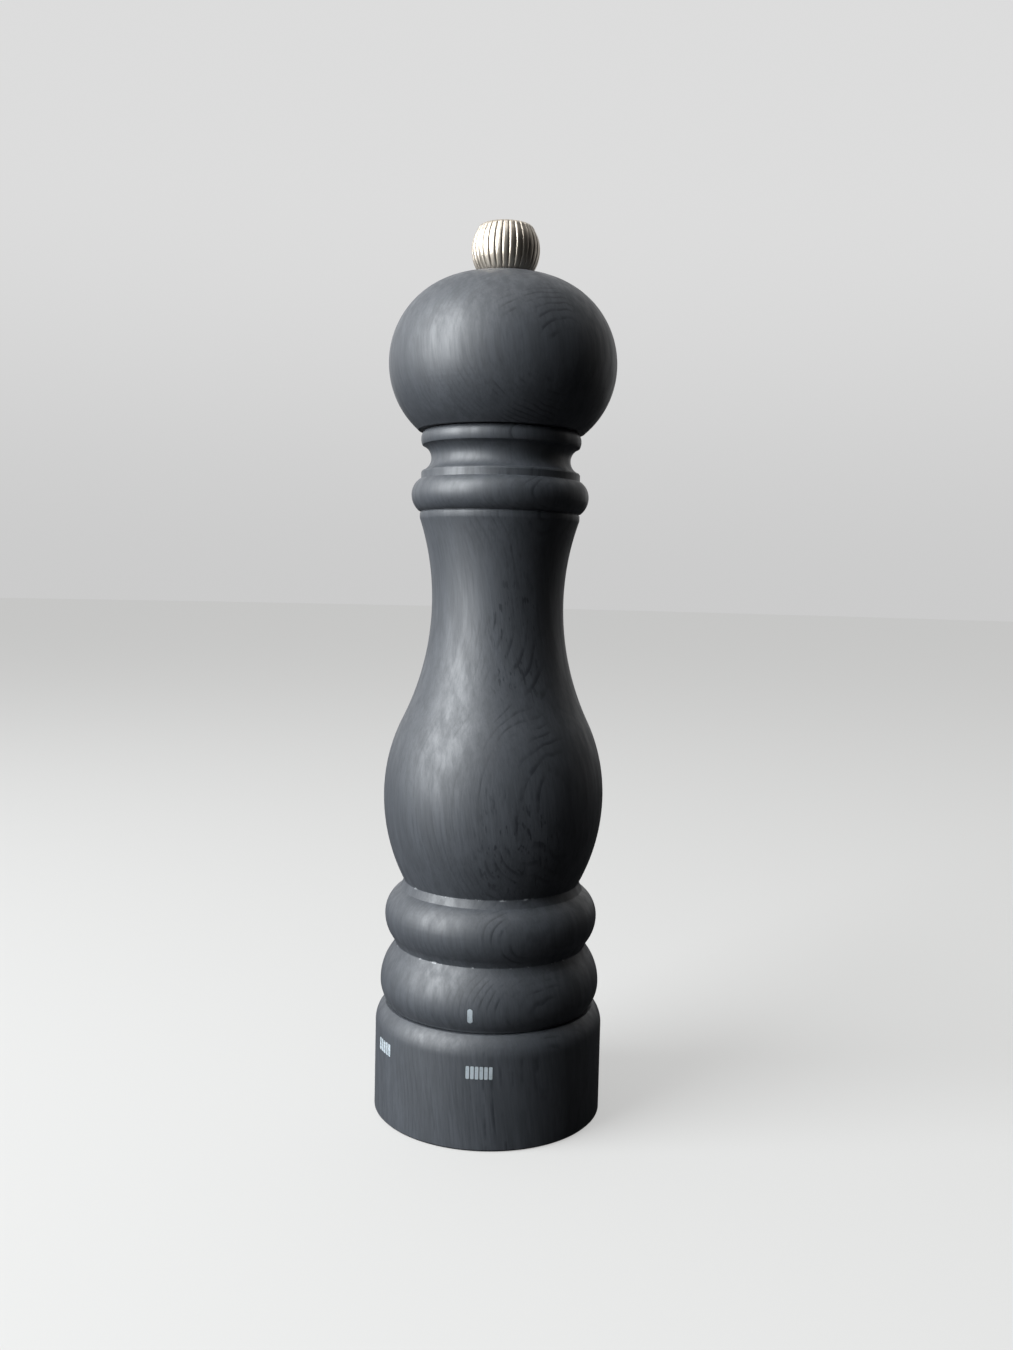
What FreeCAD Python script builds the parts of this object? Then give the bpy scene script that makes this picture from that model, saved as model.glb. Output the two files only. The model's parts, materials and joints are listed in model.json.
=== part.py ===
"""Pepper mill, 22 cm: turned wooden body, head and grind ring round a conical burr mechanism.

Origin: centre of the base, on the surface the mill stands on. +Z is the mill's axis, up.
-Y is the front, where the index mark is. All sizes are in millimetres.
"""
import FreeCAD, Part
import math
import os
import re
import Sketcher

SIZES = {
    # overall
    "total_height": 220.0,
    # grind ring: the wooden foot that turns
    "ring_radius": 28.6,
    "ring_height": 27.2,
    "ring_shoulder_curve": 6.6,
    "ring_shoulder_rise": 5.0,
    "ring_foot_chamfer": 0.5,
    "ring_bore": 22.9,
    "ring_flange_recess": 24.4,
    "ring_flange_recess_floor": 24.0,
    "nut_flange_recess": 25.6,
    "nut_flange_top": 7.0,
    # wooden body, outside, from the seam above the ring upwards
    "foot_bead_radius": 27.55,
    "foot_bead_flat_radius": 25.75,
    "foot_bead_z": 32.8,
    "foot_bead_low_curve": 8.0,
    "foot_bead_high_curve": 13.0,
    "foot_bead_end_z": 40.7,
    "crease_radius": 23.95,
    "crease_z": 42.4,
    "upper_bead_start_z": 43.9,
    "upper_bead_radius": 26.65,
    "upper_bead_z": 49.7,
    "upper_bead_low_curve": 9.4,
    "upper_bead_high_curve": 7.6,
    "upper_bead_end_z": 56.25,
    "bead_top_crease_z": 58.2,
    "belly_radius": 27.44,
    "belly_z": 80.0,
    "belly_low_curve": 46.5,
    "belly_high_curve": 42.8,
    "waist_radius": 16.35,
    "waist_z": 127.9,
    "waist_high_curve": 63.5,
    "neck_band_z": 148.4,
    "neck_groove_z": 149.9,
    "neck_crease": 0.3,
    "neck_bead_radius": 21.88,
    "neck_bead_z": 154.1,
    "neck_bead_low_curve": 5.2,
    "neck_bead_high_curve": 4.6,
    "neck_bead_top_z": 157.8,
    "fillet_step_radius": 19.6,
    "fillet_step_top_z": 159.5,
    "cove_radius": 17.19,
    "cove_z": 163.0,
    "cove_curve": 3.35,
    "cove_half_height": 3.15,
    "collar_radius": 19.75,
    "collar_z": 167.7,
    "collar_low_curve": 3.6,
    "collar_high_curve": 2.8,
    "collar_top_z": 169.65,
    # wooden body, inside
    "reservoir_radius": 12.5,
    "mechanism_bore": 19.3,
    "mechanism_bore_top": 39.0,
    # wooden head
    "head_bottom_z": 169.8,
    "head_edge": 0.4,
    "head_radius": 27.93,
    "head_z": 185.9,
    "head_low_curve": 21.0,
    "head_high_curve": 21.3,
    "head_seat_z": 207.2,
    "head_seat_radius": 8.0,
    "head_seat_start_radius": 9.6,
    "head_bore": 3.9,
    "tenon_radius": 12.3,
    "tenon_edge": 0.6,
    "tenon_bottom_z": 161.0,
    # knob and its washer
    "washer_radius": 6.0,
    "washer_thickness": 0.8,
    "washer_hole": 2.7,
    "knob_foot_radius": 6.4,
    "knob_foot_chamfer": 0.3,
    "knob_radius": 8.38,
    "knob_z": 213.6,
    "knob_low_curve": 9.0,
    "knob_high_curve": 8.5,
    "knob_edge_drop": 1.35,
    "knob_crown": 0.55,
    "knob_crown_radius": 5.7,
    "knob_flutes": 30,
    "knob_flute_curve": 9.0,
    "knob_flute_radius": 0.75,
    "knob_flute_depth": 0.3,
    "knob_flute_sweep": 84,
    "knob_bore": 2.5,
    "knob_bore_depth": 8.5,
    # drive shaft
    "shaft_side": 5.0,
    "shaft_corner": 0.25,
    "shaft_overlap": 1.0,
    "shaft_bottom_z": 8.0,
    "shaft_shoulder_z": 204.5,
    "shaft_top_z": 215.8,
    "shaft_thread_radius": 2.42,
    "shaft_tail_radius": 2.0,
    "shaft_tail_z": 4.2,
    "clip_groove_radius": 2.9,
    "clip_groove_height": 0.8,
    "clip_radius": 4.9,
    "clip_gap": 0.15,
    # drive plate under the head
    "plate_radius": 11.2,
    "plate_thickness": 1.5,
    "plate_hole_side": 5.16,
    "plate_screw_circle": 7.6,
    # housing
    "housing_bottom_z": 3.5,
    "housing_top_z": 36.0,
    "housing_bore": 16.6,
    "skirt_radius": 19.4,
    "flange_radius": 24.0,
    "flange_bottom_z": 24.3,
    "flange_top_z": 27.4,
    "retainer_bottom_z": 4.2,
    "retainer_thickness": 1.0,
    "retainer_groove_radius": 18.6,
    "retainer_groove_play": 0.1,
    "retainer_radius": 21.3,
    "spring_seat_z": 34.4,
    "spring_seat_bore": 14.6,
    "slot_half_width": 3.7,
    "slot_bottom_z": 9.7,
    "slot_top_z": 14.8,
    "stop_rib_radius": 20.5,
    "stop_rib_bottom_z": 16.0,
    "stop_rib_top_z": 23.6,
    "stop_rib_angle": 150,
    "stop_rib_half_angle": 5,
    "stop_gap_angle": 0.7,
    "housing_screw_circle": 21.7,
    "bridge_screw_circle": 17.9,
    # bridge and bush
    "bridge_radius": 19.0,
    "bridge_thickness": 1.5,
    "bridge_hub": 7.2,
    "bridge_rim": 15.6,
    "bridge_arm_half_angle": 16,
    "bush_radius": 4.6,
    "bush_flange_radius": 5.4,
    "bush_flange": 1.0,
    "bush_bore": 3.58,
    "bush_bottom_z": 34.5,
    # rotor
    "rotor_foot_radius": 9.9,
    "burr_slope": 0.25,
    "rotor_band_top_z": 15.2,
    "rotor_hub_z": 26.0,
    "rotor_hub_radius": 4.6,
    "rotor_teeth": 24,
    "rotor_tooth_root": 8.5,
    "rotor_tooth_half_width": 0.8,
    "rotor_feed_teeth": 6,
    "rotor_feed_cutter": 2.3,
    "rotor_feed_cutter_circle": 8.9,
    "thrust_washer_radius": 4.4,
    "thrust_washer_thickness": 0.7,
    "thrust_gap": 0.1,
    # stator and its carrier
    "stator_radius": 14.2,
    "stator_bottom_z": 8.0,
    "stator_top_z": 22.0,
    "stator_mouth": 12.9,
    "burr_gap": 0.25,
    "stator_tooth_root": 11.1,
    "stator_tooth_tip": 7.7,
    "stator_tooth_half_width": 0.95,
    "carrier_radius": 16.4,
    "carrier_bottom_z": 6.9,
    "carrier_top_z": 23.6,
    "carrier_lip_bore": 12.6,
    "lug_bottom_z": 10.0,
    "lug_top_z": 13.0,
    "lug_radius": 20.2,
    "lug_half_width": 3.5,
    "stator_ring_thickness": 1.0,
    "stator_ring_bore": 13.2,
    "stator_ring_groove": 0.5,
    # carrier spring
    "carrier_spring_radius": 15.4,
    "carrier_spring_wire": 0.45,
    "carrier_spring_turns": 4,
    # adjusting nut inside the ring
    "nut_bore": 19.5,
    "nut_bottom_z": 5.5,
    "nut_top_z": 23.9,
    "nut_flange_radius": 25.5,
    "nut_recess": 20.8,
    "nut_thread_bottom_z": 9.6,
    "nut_thread_top_z": 14.9,
    "nut_stop_floor_z": 15.7,
    "ring_travel": 232,
    "grind_steps": 5,
    "ring_step": 58,
    "nut_screw_circle": 24.2,
    "nut_screws": 4,
    # detent
    "detent_circle": 21.75,
    "detent_angle": 30,
    "detent_ball_radius": 1.15,
    "detent_ball_z": 25.1,
    "detent_hole": 1.3,
    "detent_hole_top_z": 31.4,
    "detent_spring_wire": 0.16,
    "detent_dimple_radius": 0.7,
    "detent_dimple_depth": 0.3,
    "detent_spring_radius": 1.0,
    "detent_spring_turns": 5,
    "detent_spring_seat": 0.15,
    # fasteners
    "screw_radius": 0.9,
    "screw_hole": 0.92,
    "screw_head_radius": 1.75,
    "small_head_radius": 1.15,
    "screw_length": 6.0,
    "short_screw_length": 4.0,
    "nut_flats_radius": 4.0,
    "rotor_nut_height": 2.4,
    "rotor_washer_radius": 4.6,
    "rotor_washer_thickness": 0.6,
    "driver_slot_depth": 0.4,
    "driver_slot_half_width": 0.22,
    "pilot_spare": 1.0,
    # small edges and gaps
    "edge": 0.5,
    "fine_edge": 0.2,
    "play": 0.05,
    "fit": 0.02,
}

doc = FreeCAD.newDocument("pepper_mill")
sheet = doc.addObject("Spreadsheet::Sheet", "Sizes")
for row, (alias, amount) in enumerate(SIZES.items(), 1):
    sheet.set("A%d" % row, alias)
    sheet.set("B%d" % row, str(amount))
    sheet.setAlias("B%d" % row, alias)
doc.recompute()

NODES = {}
ORIGIN = (-1, 1)
NEAR = 1e-6
AXIS_LENGTH = "10"
CLIP_Z = "(housing_top_z + bridge_thickness + bush_flange + clip_gap)"
ROTOR_TOP = "(bush_bottom_z - thrust_gap - thrust_washer_thickness)"


def bound(formula):
    """A formula in the sheet's words as an expression that FreeCAD can bind."""
    def named(word):
        return "Sizes." + word.group() if word.group() in SIZES else word.group()
    return re.sub(r"[a-z_]+", named, str(formula))


def number(formula):
    """What a formula in the sheet's words comes to."""
    return float(sheet.evalExpression(bound(formula)))


def point(x, y):
    return FreeCAD.Vector(x, y, 0)


def new_body(name, many_solids=False):
    """One sub-part. many_solids lets identical fasteners share it."""
    body = doc.addObject("PartDesign::Body", name)
    body.Label = name
    body.AllowCompound = many_solids
    NODES[name] = body
    return body


def sketch_on(body, plane, name, lift=None):
    """A sketch on one of the body's own origin planes, lifted along the plane's normal."""
    sketch = body.newObject("Sketcher::SketchObject", name)
    support = next(face for face in body.Origin.OriginFeatures if face.Role == plane)
    sketch.AttachmentSupport = [(support, "")]
    sketch.MapMode = "FlatFace"
    if lift is not None:
        sketch.setExpression("AttachmentOffset.Base.z", bound(lift))
    return sketch


def fix_size(sketch, kind, formula, *where):
    """A dimension of the sketch, bound to the sheet."""
    index = sketch.addConstraint(Sketcher.Constraint(kind, *where, number(formula)))
    sketch.setExpression("Constraints[%d]" % index, bound(formula))


def fix_point(sketch, geo, end, x, y):
    """Holds a point of the sketch at (x, y), both formulas."""
    for kind, formula, axis in (("DistanceX", x, -2), ("DistanceY", y, -1)):
        if abs(number(formula)) < NEAR:
            sketch.addConstraint(Sketcher.Constraint("PointOnObject", geo, end, axis))
        else:
            fix_size(sketch, kind, formula, *ORIGIN, geo, end)


def draw_outline(sketch, corners):
    """A closed outline of (x, y) or (x, y, curve) corners. curve is the radius of the arc that runs on to
    the next corner: positive swells away from the axis, negative hollows towards it."""
    places = [point(number(corner[0]), number(corner[1])) for corner in corners]
    ends = []
    for index, corner in enumerate(corners):
        start, stop = places[index], places[(index + 1) % len(places)]
        if len(corner) == 2:
            geo = sketch.addGeometry(Part.LineSegment(start, stop))
        else:
            radius = number(corner[2])
            chord = stop - start
            side = FreeCAD.Vector(chord.y, -chord.x, 0).normalize()
            if side.x < 0:
                side = -side
            sag = abs(radius) - math.sqrt(radius ** 2 - (chord.Length / 2) ** 2)
            middle = (start + stop) * 0.5 + side * math.copysign(sag, radius)
            geo = sketch.addGeometry(Part.Arc(start, middle, stop))
        first_is_start = sketch.getPoint(geo, 1).distanceToPoint(start) < NEAR
        ends.append((geo, 1, 2) if first_is_start else (geo, 2, 1))
    for index, corner in enumerate(corners):
        geo, first, last = ends[index]
        next_geo, next_first, _ = ends[(index + 1) % len(ends)]
        sketch.addConstraint(Sketcher.Constraint("Coincident", geo, last, next_geo, next_first))
        fix_point(sketch, geo, first, corner[0], corner[1])
        if len(corner) == 3:
            fix_size(sketch, "Radius", "abs(%s)" % corner[2], geo)


def draw_circle(sketch, x, y, radius):
    centre = point(number(x), number(y))
    geo = sketch.addGeometry(Part.Circle(centre, FreeCAD.Vector(0, 0, 1), number(radius)))
    fix_point(sketch, geo, 3, x, y)
    fix_size(sketch, "Radius", radius, geo)


def draw_upright(sketch, x):
    """A construction line parallel to the mill's axis, which the sketch can be turned about."""
    foot = point(number(x), 0)
    geo = sketch.addGeometry(Part.LineSegment(foot, foot + point(0, number(AXIS_LENGTH))), True)
    sketch.addConstraint(Sketcher.Constraint("Vertical", geo))
    fix_point(sketch, geo, 1, x, "0")
    fix_size(sketch, "Distance", AXIS_LENGTH, geo)


def draw_rectangle(sketch, x_low, x_high, y_low, y_high):
    draw_outline(sketch, [(x_low, y_low), (x_high, y_low), (x_high, y_high), (x_low, y_high)])


def draw_sector(sketch, inner, outer, middle_angle, half_angle):
    """A stretch of ring about the origin, between two radii and two angles in degrees."""
    corners = []
    for radius, turn in ((inner, "-"), (outer, "-"), (outer, "+"), (inner, "+")):
        angle = "(%s %s (%s)) * 1 deg" % (middle_angle, turn, half_angle)
        corners.append(["(%s) * cos(%s)" % (radius, angle), "(%s) * sin(%s)" % (radius, angle)])
    places = [point(number(x), number(y)) for x, y in corners]
    middle = math.radians(number(middle_angle))
    geos = []
    for index in range(4):
        start, stop = places[index], places[(index + 1) % 4]
        if index % 2 == 0:
            geos.append(sketch.addGeometry(Part.LineSegment(start, stop)))
            continue
        radius = number((outer, inner)[index // 2])
        between = point(radius * math.cos(middle), radius * math.sin(middle))
        geos.append(sketch.addGeometry(Part.Arc(start, between, stop)))
    for index, geo in enumerate(geos):
        if index % 2 == 0:
            fix_point(sketch, geo, 1, *corners[index])
            fix_point(sketch, geo, 2, *corners[(index + 1) % 4])
            continue
        before, after = geos[index - 1], geos[(index + 1) % 4]
        for end in (1, 2):
            near_before = sketch.getPoint(geo, end).distanceToPoint(places[index]) < NEAR
            other = (before, 2) if near_before else (after, 1)
            sketch.addConstraint(Sketcher.Constraint("Coincident", geo, end, *other))
        fix_size(sketch, "Radius", (outer, inner)[index // 2], geo)


def volume(body):
    doc.recompute()
    return body.Shape.Volume


def turn(body, sketch, cut=False, angle=360, axis="V_Axis"):
    """Turns the sketch about an axis of its own, adding material or cutting it away."""
    before = volume(body) if cut else 0
    kind = "PartDesign::Groove" if cut else "PartDesign::Revolution"
    feature = body.newObject(kind, sketch.Name + "_turned")
    feature.Profile = sketch
    feature.ReferenceAxis = (sketch, [axis])
    feature.Midplane = True
    feature.Angle = angle
    sketch.Visibility = False
    after = volume(body)
    if cut and after > before - NEAR:
        raise ValueError("%s cut nothing" % sketch.Name)
    return feature


def turned(name, corners, angle=360):
    """A sub-part turned from one closed outline of (radius, height) corners."""
    body = new_body(name)
    sketch = sketch_on(body, "XZ_Plane", name + "_outline")
    draw_outline(sketch, corners)
    turn(body, sketch, angle=angle)
    return body


def pad(body, sketch, height):
    feature = body.newObject("PartDesign::Pad", sketch.Name + "_pad")
    feature.Profile = sketch
    feature.setExpression("Length", bound(height))
    return feature


def cut_up(body, sketch, height):
    """Cuts the sketch's outline upwards from its own plane."""
    before = volume(body)
    feature = body.newObject("PartDesign::Pocket", sketch.Name + "_cut")
    feature.Profile = sketch
    feature.Type = "Length"
    feature.setExpression("Length", bound(height))
    feature.Reversed = True
    after = volume(body)
    if after > before - NEAR:
        raise ValueError("%s cut nothing" % sketch.Name)
    return feature


def round_the_axis(body, features, count):
    """Repeats the features evenly about the mill's axis."""
    doc.recompute()
    pattern = body.newObject("PartDesign::PolarPattern", features[-1].Name + "_round")
    pattern.Originals = features
    axis = next(line for line in body.Origin.OriginFeatures if line.Role == "Z_Axis")
    pattern.Axis = (axis, [""])
    pattern.Angle = 360
    if str(count) in SIZES:
        pattern.setExpression("Occurrences", bound(count))
    else:
        pattern.Occurrences = count
    body.Tip = pattern
    doc.recompute()
    return pattern


def cut_holes(body, name, circle, radius, bottom, height, count, angle=0):
    """Round holes on a circle about the axis, from bottom upwards."""
    sketch = sketch_on(body, "XY_Plane", name, bottom)
    turned_by = "%s * 1 deg" % angle
    draw_circle(sketch, "%s * cos(%s)" % (circle, turned_by), "%s * sin(%s)" % (circle, turned_by), radius)
    hole = cut_up(body, sketch, height)
    return round_the_axis(body, [hole], count) if count != 1 else hole


def down_arc(radius, curve, height):
    """The radius of a turned swell at a height from its fullest point."""
    return "%s - %s + sqrt(%s^2 - (%s)^2)" % (radius, curve, curve, height)


def screws(name, circle, count, angle, bottom, head_radius, length, points_up):
    """Countersunk screws on a circle about the axis; bottom is the height of the head's flat face."""
    sign = "+" if points_up else "-"
    cone_end = "%s %s (%s - screw_radius)" % (bottom, sign, head_radius)
    tip = "%s %s (%s)" % (bottom, sign, length)
    tip_edge = "%s %s (%s - screw_radius)" % (bottom, sign, length)
    body = new_body(name, many_solids=True)
    sketch = sketch_on(body, "XZ_Plane", name + "_outline")
    draw_outline(sketch, [
        (circle, bottom),
        ("%s + %s" % (circle, head_radius), bottom),
        ("%s + screw_radius" % circle, cone_end),
        ("%s + screw_radius" % circle, tip_edge),
        (circle, tip),
    ])
    draw_upright(sketch, circle)
    shank = turn(body, sketch, axis="Axis0")
    slot_bottom = bottom if points_up else "%s - driver_slot_depth" % bottom
    slot = sketch_on(body, "XY_Plane", name + "_slot", slot_bottom)
    draw_rectangle(slot, "%s - %s" % (circle, head_radius), "%s + %s" % (circle, head_radius),
                   "-driver_slot_half_width", "driver_slot_half_width")
    notch = cut_up(body, slot, "driver_slot_depth")
    round_the_axis(body, [shank, notch], count)
    body.setExpression("Placement.Rotation.Angle", "%s * 1 deg" % bound(angle))


def coil(name, radius, wire, bottom, top, turns, x="0", y="0"):
    """A coil spring of round wire. radius is the wire's centre line."""
    body = new_body(name)
    sketch = sketch_on(body, "XZ_Plane", name + "_wire")
    draw_circle(sketch, radius, "%s + %s" % (bottom, wire), wire)
    rise = "(%s) - (%s) - 2 * (%s)" % (top, bottom, wire)
    spring = body.newObject("PartDesign::AdditiveHelix", name + "_coil")
    spring.Profile = sketch
    spring.ReferenceAxis = (sketch, ["V_Axis"])
    spring.Mode = "height-turns-angle"
    spring.setExpression("Height", bound(rise))
    spring.setExpression("Turns", bound(turns))
    body.setExpression("Placement.Base.x", bound(x))
    body.setExpression("Placement.Base.y", bound(y))
    doc.recompute()


def make_mill_body():
    """The turned wooden body: foot beads, belly, waist, neck bead, cove and collar, bored right through."""
    narrowing = "(belly_radius - waist_radius)"
    rise = "(waist_z - belly_z)"
    both_curves = "((%s^2 + %s^2) / (2 * %s))" % (rise, narrowing, narrowing)
    share = "(belly_high_curve / %s)" % both_curves
    bottom = "flange_top_z"
    cove_end = "cove_radius + cove_curve - sqrt(cove_curve^2 - cove_half_height^2)"
    band = "(waist_radius + waist_high_curve - sqrt(waist_high_curve^2 - (neck_band_z - waist_z)^2))"
    return turned("mill_body", [
        ("mechanism_bore", bottom),
        ("foot_bead_flat_radius", bottom),
        (down_arc("foot_bead_radius", "foot_bead_low_curve", "foot_bead_z - flange_top_z - edge"),
         "flange_top_z + edge", "foot_bead_low_curve"),
        ("foot_bead_radius", "foot_bead_z", "foot_bead_high_curve"),
        (down_arc("foot_bead_radius", "foot_bead_high_curve", "foot_bead_end_z - foot_bead_z"),
         "foot_bead_end_z"),
        ("crease_radius", "crease_z"),
        (down_arc("upper_bead_radius", "upper_bead_low_curve", "upper_bead_z - upper_bead_start_z"),
         "upper_bead_start_z", "upper_bead_low_curve"),
        ("upper_bead_radius", "upper_bead_z", "upper_bead_high_curve"),
        (down_arc("upper_bead_radius", "upper_bead_high_curve", "upper_bead_end_z - upper_bead_z"),
         "upper_bead_end_z"),
        (down_arc("belly_radius", "belly_low_curve", "belly_z - bead_top_crease_z"), "bead_top_crease_z",
         "belly_low_curve"),
        ("belly_radius", "belly_z", "belly_high_curve"),
        ("belly_radius - %s * %s" % (narrowing, share), "belly_z + %s * %s" % (rise, share),
         "belly_high_curve - %s" % both_curves),
        ("waist_radius", "waist_z", "-waist_high_curve"),
        (band, "neck_band_z"),
        (band, "neck_groove_z - neck_crease"),
        (band + " - neck_crease", "neck_groove_z"),
        (down_arc("neck_bead_radius", "neck_bead_low_curve", "neck_bead_z - neck_groove_z - neck_crease"),
         "neck_groove_z + neck_crease", "neck_bead_low_curve"),
        ("neck_bead_radius", "neck_bead_z", "neck_bead_high_curve"),
        (down_arc("neck_bead_radius", "neck_bead_high_curve", "neck_bead_top_z - neck_bead_z"),
         "neck_bead_top_z"),
        ("fillet_step_radius", "neck_bead_top_z"),
        ("fillet_step_radius", "fillet_step_top_z"),
        (cove_end, "cove_z - cove_half_height", "-cove_curve"),
        (cove_end, "cove_z + cove_half_height", "collar_low_curve"),
        ("collar_radius", "collar_z", "collar_high_curve"),
        (down_arc("collar_radius", "collar_high_curve", "collar_top_z - collar_z"), "collar_top_z"),
        ("reservoir_radius + edge", "collar_top_z"),
        ("reservoir_radius", "collar_top_z - edge"),
        ("reservoir_radius", "mechanism_bore_top"),
        ("mechanism_bore", "mechanism_bore_top"),
    ])


def drill_mill_body(body):
    """Blind holes in the body's underside: three for the housing screws and one for the detent spring."""
    cut_holes(body, "housing_screw_pilots", "housing_screw_circle", "screw_hole", "flange_top_z",
              "screw_length - (flange_top_z - flange_bottom_z) + pilot_spare", 3, 90)
    cut_holes(body, "detent_spring_hole", "detent_circle", "detent_hole", "flange_top_z",
              "detent_hole_top_z - flange_top_z", 1, "detent_angle")


def make_head():
    """The turned wooden head: a flattened ball with a tenon that turns in the body's mouth."""
    crown_inset = "(head_seat_start_radius - head_radius + head_high_curve)"
    rim = down_arc("head_radius", "head_low_curve", "head_z - head_bottom_z - head_edge")
    body = turned("head", [
        ("head_bore", "tenon_bottom_z"),
        ("tenon_radius - tenon_edge", "tenon_bottom_z"),
        ("tenon_radius", "tenon_bottom_z + tenon_edge"),
        ("tenon_radius", "head_bottom_z"),
        (rim + " - head_edge", "head_bottom_z"),
        (rim, "head_bottom_z + head_edge", "head_low_curve"),
        ("head_radius", "head_z", "head_high_curve"),
        ("head_seat_start_radius", "head_z + sqrt(head_high_curve^2 - %s^2)" % crown_inset),
        ("head_seat_radius", "head_seat_z"),
        ("head_bore + 0.3", "head_seat_z"),
        ("head_bore", "head_seat_z - 0.3"),
    ])
    cut_holes(body, "plate_screw_pilots", "plate_screw_circle", "screw_hole", "tenon_bottom_z",
              "short_screw_length - plate_thickness + pilot_spare", 2, 0)


def make_knob():
    """The round nut on top: fluted round its barrel so that fingers can turn it."""
    foot = "(head_seat_z + washer_thickness + play)"
    crown = "(total_height - knob_crown)"
    body = turned("knob", [
        ("0", foot),
        ("knob_foot_radius", foot),
        (down_arc("knob_radius", "knob_low_curve", "knob_z - %s - knob_foot_chamfer" % foot),
         "%s + knob_foot_chamfer" % foot, "knob_low_curve"),
        ("knob_radius", "knob_z", "knob_high_curve"),
        (down_arc("knob_radius", "knob_high_curve", "%s - knob_edge_drop - knob_z" % crown),
         "%s - knob_edge_drop" % crown, "knob_edge_drop * 1.25"),
        ("knob_crown_radius", crown, "(knob_crown_radius^2 + knob_crown^2) / (2 * knob_crown)"),
        ("0", "total_height"),
    ])
    bore = sketch_on(body, "XY_Plane", "knob_thread", foot)
    draw_circle(bore, "0", "0", "knob_bore")
    cut_up(body, bore, "knob_bore_depth")
    flute = sketch_on(body, "XY_Plane", "knob_flute", "knob_z")
    draw_circle(flute, "knob_radius + knob_flute_radius - knob_flute_depth", "0", "knob_flute_radius")
    draw_upright(flute, "knob_radius - knob_flute_curve")
    groove = turn(body, flute, cut=True, angle=number("knob_flute_sweep"), axis="Axis0")
    round_the_axis(body, [groove], "knob_flutes")


def make_knob_washer():
    """A flat washer that spreads the knob's pull on the head."""
    turned("knob_washer", [
        ("washer_hole", "head_seat_z + fit"),
        ("washer_radius - fine_edge", "head_seat_z + fit"),
        ("washer_radius", "head_seat_z + fit + fine_edge"),
        ("washer_radius", "head_seat_z + washer_thickness - fine_edge"),
        ("washer_radius - fine_edge", "head_seat_z + washer_thickness"),
        ("washer_hole", "head_seat_z + washer_thickness"),
    ])


def make_drive_shaft():
    """The square shaft from the rotor to the knob, round and threaded at both ends."""
    body = new_body("drive_shaft")
    square = sketch_on(body, "XY_Plane", "shaft_square", "shaft_bottom_z")
    side, flat = "shaft_side / 2", "(shaft_side / 2 - shaft_corner)"
    corners = []
    for x, y in ((1, 1), (-1, 1), (-1, -1), (1, -1)):
        pair = [("%d * %s" % (x, side), "%d * %s" % (y, flat)),
                ("%d * %s" % (x, flat), "%d * %s" % (y, side))]
        corners += pair if x * y > 0 else pair[::-1]
    draw_outline(square, corners)
    pad(body, square, "shaft_shoulder_z - shaft_bottom_z")
    ends = sketch_on(body, "XZ_Plane", "shaft_ends")
    draw_outline(ends, [
        ("0", "shaft_tail_z"),
        ("shaft_tail_radius - fine_edge", "shaft_tail_z"),
        ("shaft_tail_radius", "shaft_tail_z + fine_edge"),
        ("shaft_tail_radius", "shaft_bottom_z + shaft_overlap"),
        ("0", "shaft_bottom_z + shaft_overlap"),
    ])
    turn(body, ends)
    thread = sketch_on(body, "XZ_Plane", "shaft_thread")
    draw_outline(thread, [
        ("0", "shaft_shoulder_z - shaft_overlap"),
        ("shaft_thread_radius", "shaft_shoulder_z - shaft_overlap"),
        ("shaft_thread_radius", "shaft_top_z - edge"),
        ("shaft_thread_radius - edge", "shaft_top_z"),
        ("0", "shaft_top_z"),
    ])
    turn(body, thread)
    groove = sketch_on(body, "XZ_Plane", "shaft_clip_groove")
    draw_rectangle(groove, "clip_groove_radius", "shaft_side", CLIP_Z,
                   "%s + clip_groove_height" % CLIP_Z)
    turn(body, groove, cut=True)


def make_rotor():
    """The inner burr: fine teeth on the lower cone, six feed scoops on the upper, a hub up to the bush."""
    band = "rotor_foot_radius - burr_slope * (rotor_band_top_z - shaft_bottom_z)"
    body = turned("rotor", [
        ("0", "shaft_bottom_z"),
        ("rotor_foot_radius", "shaft_bottom_z"),
        (band, "rotor_band_top_z"),
        ("rotor_hub_radius", "rotor_hub_z"),
        ("rotor_hub_radius", ROTOR_TOP),
        ("0", ROTOR_TOP),
    ])
    hole = sketch_on(body, "XY_Plane", "rotor_square", "shaft_bottom_z")
    half = "shaft_side / 2 + fit"
    draw_rectangle(hole, "-(%s)" % half, half, "-(%s)" % half, half)
    cut_up(body, hole, "%s - shaft_bottom_z" % ROTOR_TOP)
    tooth = sketch_on(body, "XY_Plane", "rotor_tooth", "shaft_bottom_z")
    draw_outline(tooth, [("rotor_tooth_root", "0"), ("rotor_foot_radius + edge", "-rotor_tooth_half_width"),
                         ("rotor_foot_radius + edge", "rotor_tooth_half_width")])
    notch = cut_up(body, tooth, "rotor_band_top_z - shaft_bottom_z")
    round_the_axis(body, [notch], "rotor_teeth")
    scoop = sketch_on(body, "XY_Plane", "rotor_scoop", "rotor_band_top_z")
    draw_circle(scoop, "rotor_feed_cutter_circle", "0", "rotor_feed_cutter")
    feed = cut_up(body, scoop, "rotor_hub_z - rotor_band_top_z")
    round_the_axis(body, [feed], "rotor_feed_teeth")


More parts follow.
